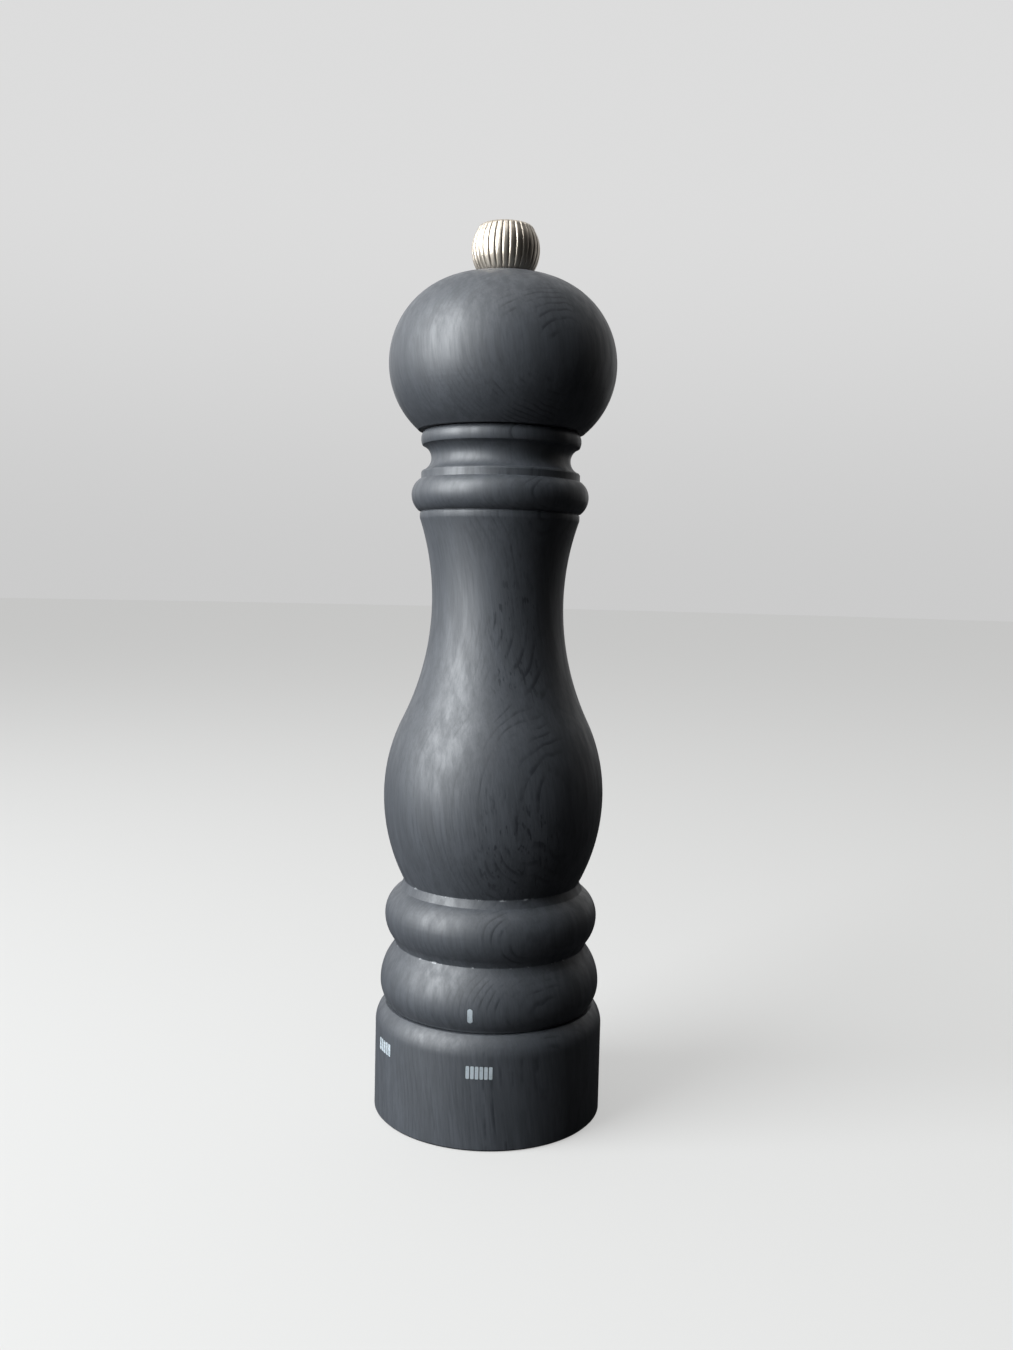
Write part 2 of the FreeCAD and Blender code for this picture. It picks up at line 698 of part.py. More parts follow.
def make_rotor_fixings():
    """The washer and hexagon nut under the rotor, the thrust washer above it and the clip over the bush."""
    turned("rotor_washer", [
        ("shaft_tail_radius + fit", "shaft_bottom_z - rotor_washer_thickness"),
        ("rotor_washer_radius", "shaft_bottom_z - rotor_washer_thickness"),
        ("rotor_washer_radius", "shaft_bottom_z"),
        ("shaft_tail_radius + fit", "shaft_bottom_z"),
    ])
    nut = new_body("rotor_nut")
    bottom = "shaft_bottom_z - rotor_washer_thickness - rotor_nut_height"
    six = sketch_on(nut, "XY_Plane", "rotor_nut_flats", bottom)
    corner_angles = range(0, 360, 60)
    draw_outline(six, [("nut_flats_radius * cos(%d deg)" % angle, "nut_flats_radius * sin(%d deg)" % angle)
                       for angle in corner_angles])
    pad(nut, six, "rotor_nut_height")
    thread = sketch_on(nut, "XY_Plane", "rotor_nut_thread", bottom)
    draw_circle(thread, "0", "0", "shaft_tail_radius + fit")
    cut_up(nut, thread, "rotor_nut_height")
    washer = new_body("thrust_washer")
    ring = sketch_on(washer, "XY_Plane", "thrust_washer_outline", ROTOR_TOP)
    draw_circle(ring, "0", "0", "thrust_washer_radius")
    pad(washer, ring, "thrust_washer_thickness")
    hole = sketch_on(washer, "XY_Plane", "thrust_washer_hole", ROTOR_TOP)
    draw_circle(hole, "0", "0", "shaft_side / sqrt(2)")
    cut_up(washer, hole, "thrust_washer_thickness")
    turned("shaft_clip", [
        ("clip_groove_radius + play", "%s + play" % CLIP_Z),
        ("clip_radius", "%s + play" % CLIP_Z),
        ("clip_radius", "%s + clip_groove_height - play" % CLIP_Z),
        ("clip_groove_radius + play", "%s + clip_groove_height - play" % CLIP_Z),
    ], angle=280)


def make_drive_plate():
    """The steel plate under the head, whose square hole takes the shaft, and its two screws."""
    body = new_body("head_drive_plate")
    bottom = "tenon_bottom_z - plate_thickness"
    disc = sketch_on(body, "XY_Plane", "plate_disc", bottom)
    draw_circle(disc, "0", "0", "plate_radius")
    pad(body, disc, "plate_thickness")
    hole = sketch_on(body, "XY_Plane", "plate_square", bottom)
    half = "plate_hole_side / 2"
    draw_rectangle(hole, "-%s" % half, half, "-%s" % half, half)
    cut_up(body, hole, "plate_thickness")
    countersink(body, "plate_countersink", "plate_screw_circle", bottom, "screw_head_radius",
                "plate_thickness", 2, 0)
    screws("drive_plate_screws", "plate_screw_circle", 2, 0, bottom, "screw_head_radius",
           "short_screw_length", True)


def countersink(body, name, circle, face, head_radius, depth, count, angle):
    """Countersunk holes on a circle, upwards from the face that the screw heads lie flush with."""
    sketch = sketch_on(body, "XZ_Plane", name)
    sketch.setExpression("AttachmentOffset.Rotation.Axis.y", "1")
    sketch.setExpression("AttachmentOffset.Rotation.Axis.z", "0")
    sketch.setExpression("AttachmentOffset.Rotation.Angle", "%s * 1 deg" % bound(angle))
    narrow = "%s + screw_hole" % circle
    draw_outline(sketch, [
        (circle, face),
        ("%s + %s + fit" % (circle, head_radius), face),
        (narrow, "%s + (%s - screw_radius)" % (face, head_radius)),
        (narrow, "%s + (%s)" % (face, depth)),
        (circle, "%s + (%s)" % (face, depth)),
    ])
    draw_upright(sketch, circle)
    hole = turn(body, sketch, cut=True, axis="Axis0")
    round_the_axis(body, [hole], count)


def make_housing():
    """The moulded housing screwed under the body: skirt, flange, sleeve, three slots and a stop rib."""
    body = turned("mechanism_housing", [
        ("housing_bore", "housing_bottom_z"),
        ("skirt_radius", "housing_bottom_z"),
        ("skirt_radius", "retainer_bottom_z"),
        ("retainer_groove_radius", "retainer_bottom_z"),
        ("retainer_groove_radius", "retainer_bottom_z + retainer_thickness + retainer_groove_play"),
        ("skirt_radius", "retainer_bottom_z + retainer_thickness + retainer_groove_play"),
        ("skirt_radius", "flange_bottom_z"),
        ("flange_radius", "flange_bottom_z"),
        ("flange_radius", "flange_top_z"),
        ("mechanism_bore - fit", "flange_top_z"),
        ("mechanism_bore - fit", "housing_top_z"),
        ("spring_seat_bore", "housing_top_z"),
        ("spring_seat_bore", "spring_seat_z"),
        ("housing_bore", "spring_seat_z"),
    ])
    rib = sketch_on(body, "XY_Plane", "stop_rib", "stop_rib_bottom_z")
    draw_sector(rib, "skirt_radius - edge", "stop_rib_radius", "stop_rib_angle", "stop_rib_half_angle")
    pad(body, rib, "stop_rib_top_z - stop_rib_bottom_z")
    slot = sketch_on(body, "XY_Plane", "lug_slot", "slot_bottom_z")
    draw_rectangle(slot, "housing_bore - edge", "skirt_radius + edge", "-slot_half_width", "slot_half_width")
    window = cut_up(body, slot, "slot_top_z - slot_bottom_z")
    round_the_axis(body, [window], 3)
    countersink(body, "housing_screw_holes", "housing_screw_circle", "flange_bottom_z", "screw_head_radius",
                "flange_top_z - flange_bottom_z", 3, 90)
    cut_holes(body, "detent_ball_hole", "detent_circle", "detent_hole", "flange_bottom_z",
              "flange_top_z - flange_bottom_z", 1, "detent_angle")
    cut_holes(body, "bridge_screw_pilots", "bridge_screw_circle", "screw_hole",
              "housing_top_z - short_screw_length", "short_screw_length", 3, 90)
    screws("housing_screws", "housing_screw_circle", 3, 90, "flange_bottom_z", "screw_head_radius",
           "screw_length", True)


def make_bridge():
    """The three-armed steel bridge over the burrs, its bush for the shaft and its screws."""
    body = new_body("upper_bridge")
    disc = sketch_on(body, "XY_Plane", "bridge_disc", "housing_top_z")
    draw_circle(disc, "0", "0", "bridge_radius")
    pad(body, disc, "bridge_thickness")
    bore = sketch_on(body, "XY_Plane", "bridge_bore", "housing_top_z")
    draw_circle(bore, "0", "0", "bush_radius + fit")
    cut_up(body, bore, "bridge_thickness")
    window = sketch_on(body, "XY_Plane", "bridge_window", "housing_top_z")
    draw_sector(window, "bridge_hub", "bridge_rim", "30", "60 - bridge_arm_half_angle")
    opening = cut_up(body, window, "bridge_thickness")
    round_the_axis(body, [opening], 3)
    top = "housing_top_z + bridge_thickness"
    cut_holes(body, "bridge_screw_holes", "bridge_screw_circle", "screw_hole", "housing_top_z",
              "bridge_thickness", 3, 90)
    screws("bridge_screws", "bridge_screw_circle", 3, 90, "%s + small_head_radius - screw_radius" % top,
           "small_head_radius", "short_screw_length + bridge_thickness - edge", False)
    turned("bridge_bush", [
        ("bush_bore", "bush_bottom_z"),
        ("bush_radius", "bush_bottom_z"),
        ("bush_radius", top),
        ("bush_flange_radius", top),
        ("bush_flange_radius", "%s + bush_flange" % top),
        ("bush_bore", "%s + bush_flange" % top),
    ])


def make_stator():
    """The outer burr: a funnel down to a toothed cone that follows the rotor's."""
    foot = "rotor_foot_radius + burr_gap"
    throat = "rotor_foot_radius - burr_slope * (rotor_band_top_z - shaft_bottom_z) + burr_gap"
    body = turned("stator", [
        (foot, "stator_bottom_z"),
        ("stator_radius - fit", "stator_bottom_z"),
        ("stator_radius - fit", "stator_top_z"),
        ("stator_mouth", "stator_top_z"),
        (throat, "rotor_band_top_z"),
    ])
    tooth = sketch_on(body, "XY_Plane", "stator_tooth", "stator_bottom_z")
    draw_outline(tooth, [("stator_tooth_root", "0"), ("stator_tooth_tip", "-stator_tooth_half_width"),
                         ("stator_tooth_tip", "stator_tooth_half_width")])
    notch = cut_up(body, tooth, "stator_top_z - stator_bottom_z")
    round_the_axis(body, [notch], "rotor_teeth")
    turned("stator_retainer", [
        ("stator_ring_bore", "stator_top_z"),
        ("stator_radius + stator_ring_groove - fit", "stator_top_z"),
        ("stator_radius + stator_ring_groove - fit", "stator_top_z + stator_ring_thickness - fit"),
        ("stator_ring_bore", "stator_top_z + stator_ring_thickness - fit"),
    ], angle=338)


def make_stator_carrier():
    """The cup that holds the stator; three lugs reach through the housing into the nut's thread."""
    body = turned("stator_carrier", [
        ("carrier_lip_bore", "carrier_bottom_z"),
        ("carrier_radius", "carrier_bottom_z"),
        ("carrier_radius", "carrier_top_z"),
        ("stator_radius", "carrier_top_z"),
        ("stator_radius", "stator_top_z + stator_ring_thickness"),
        ("stator_radius + stator_ring_groove", "stator_top_z + stator_ring_thickness"),
        ("stator_radius + stator_ring_groove", "stator_top_z"),
        ("stator_radius", "stator_top_z"),
        ("stator_radius", "stator_bottom_z"),
        ("carrier_lip_bore", "stator_bottom_z"),
    ])
    sketch = sketch_on(body, "XY_Plane", "carrier_lug", "lug_bottom_z")
    draw_rectangle(sketch, "carrier_radius - edge", "lug_radius", "-lug_half_width", "lug_half_width")
    lug = pad(body, sketch, "lug_top_z - lug_bottom_z")
    round_the_axis(body, [lug], 3)
    coil("carrier_spring", "carrier_spring_radius", "carrier_spring_wire", "carrier_top_z + play",
         "spring_seat_z - play", "carrier_spring_turns")


def make_adjusting_nut():
    """The moulded nut in the ring: flange, thread recess for the lugs, stop land and detent dimples."""
    body = turned("adjusting_nut", [
        ("nut_bore", "nut_bottom_z"),
        ("nut_flange_radius", "nut_bottom_z"),
        ("nut_flange_radius", "nut_flange_top"),
        ("ring_bore - fit", "nut_flange_top"),
        ("ring_bore - fit", "nut_top_z"),
        ("nut_recess", "nut_top_z"),
        ("nut_recess", "nut_stop_floor_z"),
        ("nut_bore", "nut_stop_floor_z"),
        ("nut_bore", "nut_thread_top_z"),
        ("nut_recess", "nut_thread_top_z"),
        ("nut_recess", "nut_thread_bottom_z"),
        ("nut_bore", "nut_thread_bottom_z"),
    ])
    land = sketch_on(body, "XY_Plane", "stop_land", "nut_stop_floor_z - fine_edge")
    half = "(360 - ring_travel) / 2 - stop_rib_half_angle - stop_gap_angle"
    draw_sector(land, "nut_bore", "nut_recess + fine_edge", "stop_rib_angle - ring_travel / 2 + 180", half)
    pad(body, land, "nut_top_z - nut_stop_floor_z + fine_edge")
    for step in range(SIZES["grind_steps"]):
        cut_holes(body, "detent_dimple_%d" % step, "detent_circle", "detent_dimple_radius",
                  "nut_top_z - detent_dimple_depth", "detent_dimple_depth", 1,
                  "(detent_angle - ring_step * %d)" % step)
    countersink(body, "nut_screw_holes", "nut_screw_circle", "nut_bottom_z", "small_head_radius",
                "nut_flange_top - nut_bottom_z", "nut_screws", 45)
    screws("nut_screws", "nut_screw_circle", "nut_screws", 45, "nut_bottom_z", "small_head_radius",
           "screw_length", True)


def make_grind_ring():
    """The wooden ring at the foot: a cylinder with a rounded shoulder, hollow for the nut."""
    body = turned("grind_ring", [
        ("nut_flange_recess", "0"),
        ("ring_radius - ring_foot_chamfer", "0"),
        ("ring_radius", "ring_foot_chamfer"),
        ("ring_radius", "ring_height - ring_shoulder_rise", "ring_shoulder_curve"),
        (down_arc("ring_radius", "ring_shoulder_curve", "ring_shoulder_rise"), "ring_height"),
        ("ring_flange_recess", "ring_height"),
        ("ring_flange_recess", "ring_flange_recess_floor"),
        ("ring_bore", "ring_flange_recess_floor"),
        ("ring_bore", "nut_flange_top"),
        ("nut_flange_recess", "nut_flange_top"),
    ])
    cut_holes(body, "nut_screw_pilots", "nut_screw_circle", "screw_hole", "nut_flange_top",
              "screw_length - (nut_flange_top - nut_bottom_z) + pilot_spare", "nut_screws", 45)


def make_ring_retainer():
    """The spring clip round the skirt that holds the grind ring up."""
    turned("ring_retainer", [
        ("retainer_groove_radius + fit", "retainer_bottom_z + play"),
        ("retainer_radius", "retainer_bottom_z + play"),
        ("retainer_radius", "retainer_bottom_z + retainer_thickness"),
        ("retainer_groove_radius + fit", "retainer_bottom_z + retainer_thickness"),
    ], angle=330)


def make_detent():
    """The ball and its spring in the flange, which make the ring click at each setting."""
    body = new_body("detent_ball")
    sketch = sketch_on(body, "XZ_Plane", "detent_ball_outline")
    radius = "detent_ball_radius"
    draw_outline(sketch, [("0", "-" + radius, radius), (radius, "0", radius), ("0", radius)])
    turn(body, sketch)
    x = "detent_circle * cos(detent_angle * 1 deg)"
    y = "detent_circle * sin(detent_angle * 1 deg)"
    body.setExpression("Placement.Base.x", bound(x))
    body.setExpression("Placement.Base.y", bound(y))
    body.setExpression("Placement.Base.z", bound("detent_ball_z"))
    coil("detent_spring", "detent_spring_radius", "detent_spring_wire",
         "detent_ball_z + detent_ball_radius - detent_spring_seat", "detent_hole_top_z - play",
         "detent_spring_turns", x, y)


def check_all():
    """Stops if any object failed, or any sub-part is missing a valid shape."""
    doc.recompute()
    for item in doc.Objects:
        if "Invalid" in item.State or "Error" in item.State:
            raise ValueError("%s is %s" % (item.Name, item.State))
    for name, body in NODES.items():
        if body.Shape.isNull() or not body.Shape.isValid():
            raise ValueError("%s has no valid shape" % name)


def write_all():
    os.makedirs("parts", exist_ok=True)
    for name, body in NODES.items():
        box = body.Shape.BoundBox
        body.Shape.exportStep("parts/%s.step" % name)
        print("%-20s solids %d  volume %9.1f  r %6.2f  z %7.2f to %7.2f" % (
            name, len(body.Shape.Solids), body.Shape.Volume, max(box.XMax, -box.XMin), box.ZMin, box.ZMax))


drill_mill_body(make_mill_body())
make_head()
make_drive_plate()
make_knob()
make_knob_washer()
make_drive_shaft()
make_rotor()
make_rotor_fixings()
make_housing()
make_bridge()
make_stator()
make_stator_carrier()
make_adjusting_nut()
make_grind_ring()
make_ring_retainer()
make_detent()
check_all()
write_all()
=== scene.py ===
# %% [markdown]
# # A turned pepper mill
# A pepper mill of dark stained beech, 22 cm tall, with a nickel knob on top and a wooden ring at the foot
# that sets how coarse it grinds. The mechanism inside comes ready made from the CAD frame. This lesson
# turns the wooden pieces and the knob on a lathe made of a few lines of code, cuts the thread on the
# shaft, prints the marks, and gives every piece its finish. The frame is in metres, with the mill's foot
# at the origin and its front facing -Y.

# %% Load the frame
import bmesh
import bpy
import json
import math
from mathutils import Matrix, Vector


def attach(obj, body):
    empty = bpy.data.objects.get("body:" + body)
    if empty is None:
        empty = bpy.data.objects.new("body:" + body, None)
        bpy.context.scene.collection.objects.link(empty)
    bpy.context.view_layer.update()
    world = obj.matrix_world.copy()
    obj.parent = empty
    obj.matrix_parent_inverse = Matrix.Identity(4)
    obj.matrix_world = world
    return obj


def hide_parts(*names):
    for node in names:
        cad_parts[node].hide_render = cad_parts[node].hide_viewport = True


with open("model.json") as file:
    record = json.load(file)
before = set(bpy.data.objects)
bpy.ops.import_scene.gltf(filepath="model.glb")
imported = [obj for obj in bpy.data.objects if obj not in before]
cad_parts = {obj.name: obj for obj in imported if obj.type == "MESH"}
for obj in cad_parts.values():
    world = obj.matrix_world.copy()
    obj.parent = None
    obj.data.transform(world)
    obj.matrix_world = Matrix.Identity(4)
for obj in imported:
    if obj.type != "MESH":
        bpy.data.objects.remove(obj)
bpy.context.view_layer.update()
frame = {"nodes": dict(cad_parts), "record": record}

MM = 0.001

# %% [markdown]
# ## Where we look from
# The mill is seen from close by, a little above its middle, with the camera tipped down by some four
# degrees. A camera could be aimed with a Track To constraint, but its roll would then be lost. Three
# plain angles and the position give the same view each time, so the camera's axes are worked out from
# them.

# %% The camera
EYE = Vector((0.0, -305.2, 133.2)) * MM
PITCH, YAW, ROLL = math.radians(4.37), math.radians(0.49), math.radians(1.35)
FOCAL_SHARE = 1223 / 1350        # focal length as a share of the picture's long side
SENSOR_MM = 36.0


def camera_axes(pitch, yaw, roll):
    """The camera's right, up and back directions for a downward pitch, a turn to the right and a roll."""
    ahead = Vector((math.sin(yaw) * math.cos(pitch), math.cos(yaw) * math.cos(pitch), -math.sin(pitch)))
    right = Vector((math.cos(yaw), -math.sin(yaw), 0))
    up = right.cross(ahead)
    rolled_right = right * math.cos(roll) + up * math.sin(roll)
    rolled_up = up * math.cos(roll) - right * math.sin(roll)
    return rolled_right, rolled_up, -ahead


camera = bpy.data.objects.new("camera", bpy.data.cameras.new("camera"))
bpy.context.scene.collection.objects.link(camera)
axes = Matrix(camera_axes(PITCH, YAW, ROLL)).transposed()
camera.matrix_world = Matrix.Translation(EYE) @ axes.to_4x4()
camera.data.sensor_width = SENSOR_MM
camera.data.lens = FOCAL_SHARE * SENSOR_MM
camera.data.clip_start = 0.01
bpy.context.scene.camera = camera
print("camera looks along", tuple(round(x, 3) for x in -axes.col[2]), "lens", round(camera.data.lens, 2))

# %% [markdown]
# ## Finishes are built from nodes
# Every finish below is a small graph of nodes. Linking nodes by hand is wordy, so a short helper keeps
# the graph of one finish and adds nodes by name. Places come from the object's own coordinates, turned
# into millimetres, because the grain then stays with a piece when it turns, and sizes in the graph read
# like sizes on the bench.

# %% A helper for finishes
class Finish:
    """One material's node graph, with its Principled shader ready."""

    def __init__(self, name, colour, metallic=0.0, roughness=0.5, specular=0.5, coat=0.0, coat_roughness=0.3):
        self.material = bpy.data.materials.new(name)
        self.material.use_nodes = True
        self.nodes = self.material.node_tree.nodes
        self.links = self.material.node_tree.links
        self.shader = self.nodes["Principled BSDF"]
        for socket, value in (("Base Color", (*colour, 1)), ("Metallic", metallic), ("Roughness", roughness),
                              ("Specular IOR Level", specular), ("Coat Weight", coat),
                              ("Coat Roughness", coat_roughness)):
            self.shader.inputs[socket].default_value = value

    def add(self, kind, inputs=(), **settings):
        """A node with its settings, each input a value or another node's output socket."""
        node = self.nodes.new(kind)
        for name, value in settings.items():
            setattr(node, name, value)
        for name, value in dict(inputs).items():
            if isinstance(value, bpy.types.NodeSocket):
                self.links.new(value, node.inputs[name])
            else:
                node.inputs[name].default_value = value
        return node

    def math(self, operation, first, second=0.0, third=0.0):
        node = self.add("ShaderNodeMath", {0: first, 1: second, 2: third}, operation=operation)
        return node.outputs[0]

    def place(self, stretch=(1, 1, 1)):
        """The point on the piece in millimetres, each axis multiplied by its stretch."""
        if not hasattr(self, "coordinates"):
            self.coordinates = self.add("ShaderNodeTexCoord").outputs["Object"]
        return self.stretched(self.coordinates, tuple(s / MM for s in stretch))

    def stretched(self, vector, stretch):
        return self.add("ShaderNodeVectorMath", {0: vector, 1: stretch}, operation="MULTIPLY").outputs[0]

    def along(self, vector, direction):
        """How far the vector reaches along a direction."""
        return self.add("ShaderNodeVectorMath", {0: vector, 1: direction}, operation="DOT_PRODUCT").outputs[1]

    def joined(self, x, y, z):
        return self.add("ShaderNodeCombineXYZ", {0: x, 1: y, 2: z}).outputs[0]

    def noise(self, vector, scale=1.0, detail=2.0, roughness=0.5, distortion=0.0):
        inputs = {"Vector": vector, "Scale": scale, "Detail": detail, "Roughness": roughness,
                  "Distortion": distortion}
        return self.add("ShaderNodeTexNoise", inputs).outputs["Fac"]

    def between(self, value, low, high, to_low=0.0, to_high=1.0):
        """The value's range low to high, smoothly turned into to_low to to_high."""
        limits = {"Value": value, "From Min": low, "From Max": high, "To Min": to_low, "To Max": to_high}
        return self.add("ShaderNodeMapRange", limits, interpolation_type="SMOOTHSTEP").outputs[0]

    def mix(self, share, first, second, blend="MIX"):
        node = self.add("ShaderNodeMix", data_type="RGBA", blend_type=blend)
        for index, value in ((0, share), (6, first), (7, second)):
            if isinstance(value, bpy.types.NodeSocket):
                self.links.new(value, node.inputs[index])
            else:
                node.inputs[index].default_value = (*value, 1) if index else value
        return node.outputs[2]

    def colour(self, socket):
        self.links.new(socket, self.shader.inputs["Base Color"])

    def roughness(self, socket):
        self.links.new(socket, self.shader.inputs["Roughness"])

    def bump(self, height, distance_mm, strength=1.0):
        """Adds relief: height runs from 0 to 1 over distance_mm. Later calls stack on earlier ones."""
        inputs = {"Height": height, "Distance": distance_mm * MM, "Strength": strength}
        node = self.add("ShaderNodeBump", inputs)
        earlier = self.shader.inputs["Normal"].links
        if earlier:
            self.links.new(earlier[0].from_socket, node.inputs["Normal"])
        self.links.new(node.outputs[0], self.shader.inputs["Normal"])


print("finish helper ready")

# %% [markdown]
# ## Stained beech
# The mill is beech, stained graphite grey and given a satin lacquer. A flat picture of grain wrapped
# round the mill would show a seam and the same stripes all the way round. Real grain goes through the
# whole block, so it is built here as a solid: growth rings round a pith that lies well outside the blank,
# cut by whatever surface the lathe leaves. Where the rings lie flat against the surface they come out as
# small crescents, because the waist and the belly slice through them at a shallow angle. A quarter turn
# away the same rings are fine upright lines.

# %% Growth rings
FLAT_SIDE = math.radians(30)          # where the rings lie flat to the surface, from the front towards +X
PITH_DISTANCE = 105.0                 # from the mill's axis, in millimetres
RING_WIDTH = 1.05


def growth_rings(wood, seed):
    """Thin dark lines of late wood, of uneven strength, from 0 to 1."""
    wander = wood.add("ShaderNodeTexNoise", {"Vector": wood.place((0.03, 0.03, 0.018)), "Scale": 1.0,
                                             "Detail": 2.0}).outputs["Color"]
    bent = wood.add("ShaderNodeVectorMath", {0: wood.stretched(wander, (7, 7, 0)), 1: wood.place()},
                    operation="ADD").outputs[0]
    outward = wood.along(bent, (math.sin(FLAT_SIDE), -math.cos(FLAT_SIDE), 0.012))
    sideways = wood.along(bent, (math.cos(FLAT_SIDE), math.sin(FLAT_SIDE), 0.0))
    from_pith = wood.math("ADD", outward, PITH_DISTANCE + seed)
    square = wood.math("MULTIPLY_ADD", from_pith, from_pith, wood.math("MULTIPLY", sideways, sideways))
    width_changes = wood.noise(wood.place((0.09, 0.09, 0.02)), 1.0, 2.0)
    ring = wood.math("ADD", wood.math("DIVIDE", wood.math("SQRT", square), RING_WIDTH),
                     wood.math("MULTIPLY", width_changes, 2.4))
    part = wood.math("FRACT", ring)
    line = wood.math("MULTIPLY", wood.between(part, 0.52, 0.86), wood.between(part, 1.0, 0.93))
    strength = wood.between(wood.noise(wood.place((0.16, 0.16, 0.10)), 1.0, 3.0, 0.6), 0.42, 0.66)
    return wood.math("MULTIPLY", line, strength)


print("rings lie flat", round(math.degrees(FLAT_SIDE)), "degrees right of the front,", RING_WIDTH, "mm apart")

# %% [markdown]
# Between the rings run the fibres. They lean a little from upright, and where they surface they take up
# the stain unevenly, so the satin light breaks into flames. Dark flecks are rays and pores that filled
# with stain. They are kept to two bands of height, low on the belly and up the waist, on the side between
# the front and the flat side of the rings. Where two swells meet in a crease, pale spots are painted into
# the colour: a painted highlight of glints along the crease. The lathe leaves very shallow rings.

# %% The wood finish
FIBRE_LEAN = 0.13
FLECK_BANDS = ((71, 17, 7), (120, 20, 8))      # middle height, reach, and half the part at full strength
FLECK_SIDE = FLAT_SIDE / 2
LOWER_CREASE, UPPER_CREASE = 42.4, 58.2
WOOD_LIGHT, WOOD_MID, WOOD_DARK = (0.050, 0.055, 0.063), (0.032, 0.036, 0.042), (0.010, 0.012, 0.016)
# Pale tone of the painted highlight: glints along the creases, painted into the colour.
PAINTED_CREASE_GLINT = (0.26, 0.27, 0.28)


def wood_finish(name, seed, glint_creases=()):
    """Stained beech cut from a block. seed shifts the rings, so that two pieces don't match line for line."""
    wood = Finish(name, WOOD_MID, roughness=0.5, specular=0.5, coat=0.06, coat_roughness=0.4)
    parts = wood.add("ShaderNodeSeparateXYZ", {0: wood.place()})
    x, y, z = parts.outputs
    distance = wood.math("SQRT", wood.math("MULTIPLY_ADD", x, x, wood.math("MULTIPLY", y, y)))
    fibre = wood.joined(wood.math("MULTIPLY_ADD", z, FIBRE_LEAN, x), y, wood.math("ADD", z, 37 * seed))
    flames = wood.noise(wood.stretched(fibre, (0.42, 0.42, 0.045)), 1.0, 4.0, 0.62)
    threads = wood.noise(wood.stretched(fibre, (2.4, 2.4, 0.09)), 1.0, 3.0, 0.6)
    patches = wood.noise(wood.place((0.05, 0.05, 0.035)), 1.0, 3.0, 0.6)
    dashes = wood.between(wood.noise(wood.stretched(fibre, (1.3, 1.3, 0.33)), 1.0, 1.5), 0.58, 0.68)
    toward_side = wood.along(wood.place(), (math.sin(FLECK_SIDE), -math.cos(FLECK_SIDE), 0.0))
    facing = wood.between(wood.math("DIVIDE", toward_side, wood.math("ADD", distance, 0.1)), 0.88, 0.985)
    low_band, high_band = [wood.between(wood.math("ABSOLUTE", wood.math("SUBTRACT", z, middle)), reach, full)
                           for middle, reach, full in FLECK_BANDS]
    banded = wood.math("MULTIPLY", facing, wood.math("ADD", low_band, high_band))
    dashes = wood.math("MULTIPLY", dashes, banded)
    tone = wood.mix(wood.between(flames, 0.34, 0.66), WOOD_MID, WOOD_LIGHT)
    tone = wood.mix(wood.between(patches, 0.35, 0.70, 0.0, 0.45), tone, WOOD_MID)
    tone = wood.mix(wood.between(threads, 0.40, 0.70, 0.0, 0.28), tone, WOOD_DARK)
    rings = wood.math("MULTIPLY", growth_rings(wood, seed), wood.between(facing, 0.0, 1.0, 0.35, 0.85))
    tone = wood.mix(rings, tone, WOOD_DARK)
    tone = wood.mix(wood.math("MULTIPLY", dashes, 0.85), tone, WOOD_DARK)
    # Painted highlight: pale spots in the colour along each crease height, standing for glints of light.
    for height in glint_creases:
        glint_band = wood.between(wood.math("ABSOLUTE", wood.math("SUBTRACT", z, height)), 0.34, 0.10)
        spots = wood.between(wood.noise(wood.place((0.42, 0.42, 0.4)), 1.0, 3.0, 0.7), 0.56, 0.68, 0.0, 0.8)
        tone = wood.mix(wood.math("MULTIPLY", glint_band, spots), tone, PAINTED_CREASE_GLINT)
    wood.colour(tone)
    wood.roughness(wood.between(flames, 0.32, 0.68, 0.60, 0.47))
    turned = wood.joined(wood.math("MULTIPLY", distance, 1.3), 0.0, wood.math("MULTIPLY", z, 1.3))
    lathe = wood.noise(turned, 1.0, 2.0)
    wood.bump(threads, 0.035, 0.6)
    wood.bump(lathe, 0.018, 0.5)
    return wood.material


# The body gets the painted highlight along its two creases.
body_wood = wood_finish("stained_beech_body", 0.0, glint_creases=(LOWER_CREASE, UPPER_CREASE))
head_wood = wood_finish("stained_beech_head", 3.4)
ring_wood = wood_finish("stained_beech_ring", 7.7)
print("wood finishes:", body_wood.name, head_wood.name, ring_wood.name)

# %% [markdown]
# ## A lathe in code
# A turned piece is an outline swung round the mill's axis. Blender's Screw modifier does that, but it
# leaves one shading for crisp and for smooth corners. Here the outline is a list of corners, each with
# the radius of the arc that runs on to the next, exactly as the turner would set a compass. Sharp corners
# are eased by a small rounding, as sandpaper and lacquer leave them, so that they catch a line of light.

# %% The lathe
def arc(start, stop, curve, step_mm=0.45):
    """Points from start up to but not including stop, on an arc of that radius: positive swells outwards."""
    (x0, y0), (x1, y1) = start, stop
    if not curve:
        return [start]
    chord = math.hypot(x1 - x0, y1 - y0)
    side_x, side_y = (y1 - y0) / chord, -(x1 - x0) / chord
    if side_x < 0:
        side_x, side_y = -side_x, -side_y
    radius = abs(curve)
    depth = math.sqrt(radius ** 2 - (chord / 2) ** 2) * math.copysign(1, curve)
    centre = ((x0 + x1) / 2 - side_x * depth, (y0 + y1) / 2 - side_y * depth)
    first = math.atan2(y0 - centre[1], x0 - centre[0])
    last = math.atan2(y1 - centre[1], x1 - centre[0])
    sweep = (last - first + math.pi) % (2 * math.pi) - math.pi
    count = max(2, round(abs(sweep) * radius / step_mm))
    return [(centre[0] + radius * math.cos(first + sweep * k / count),
             centre[1] + radius * math.sin(first + sweep * k / count)) for k in range(count)]


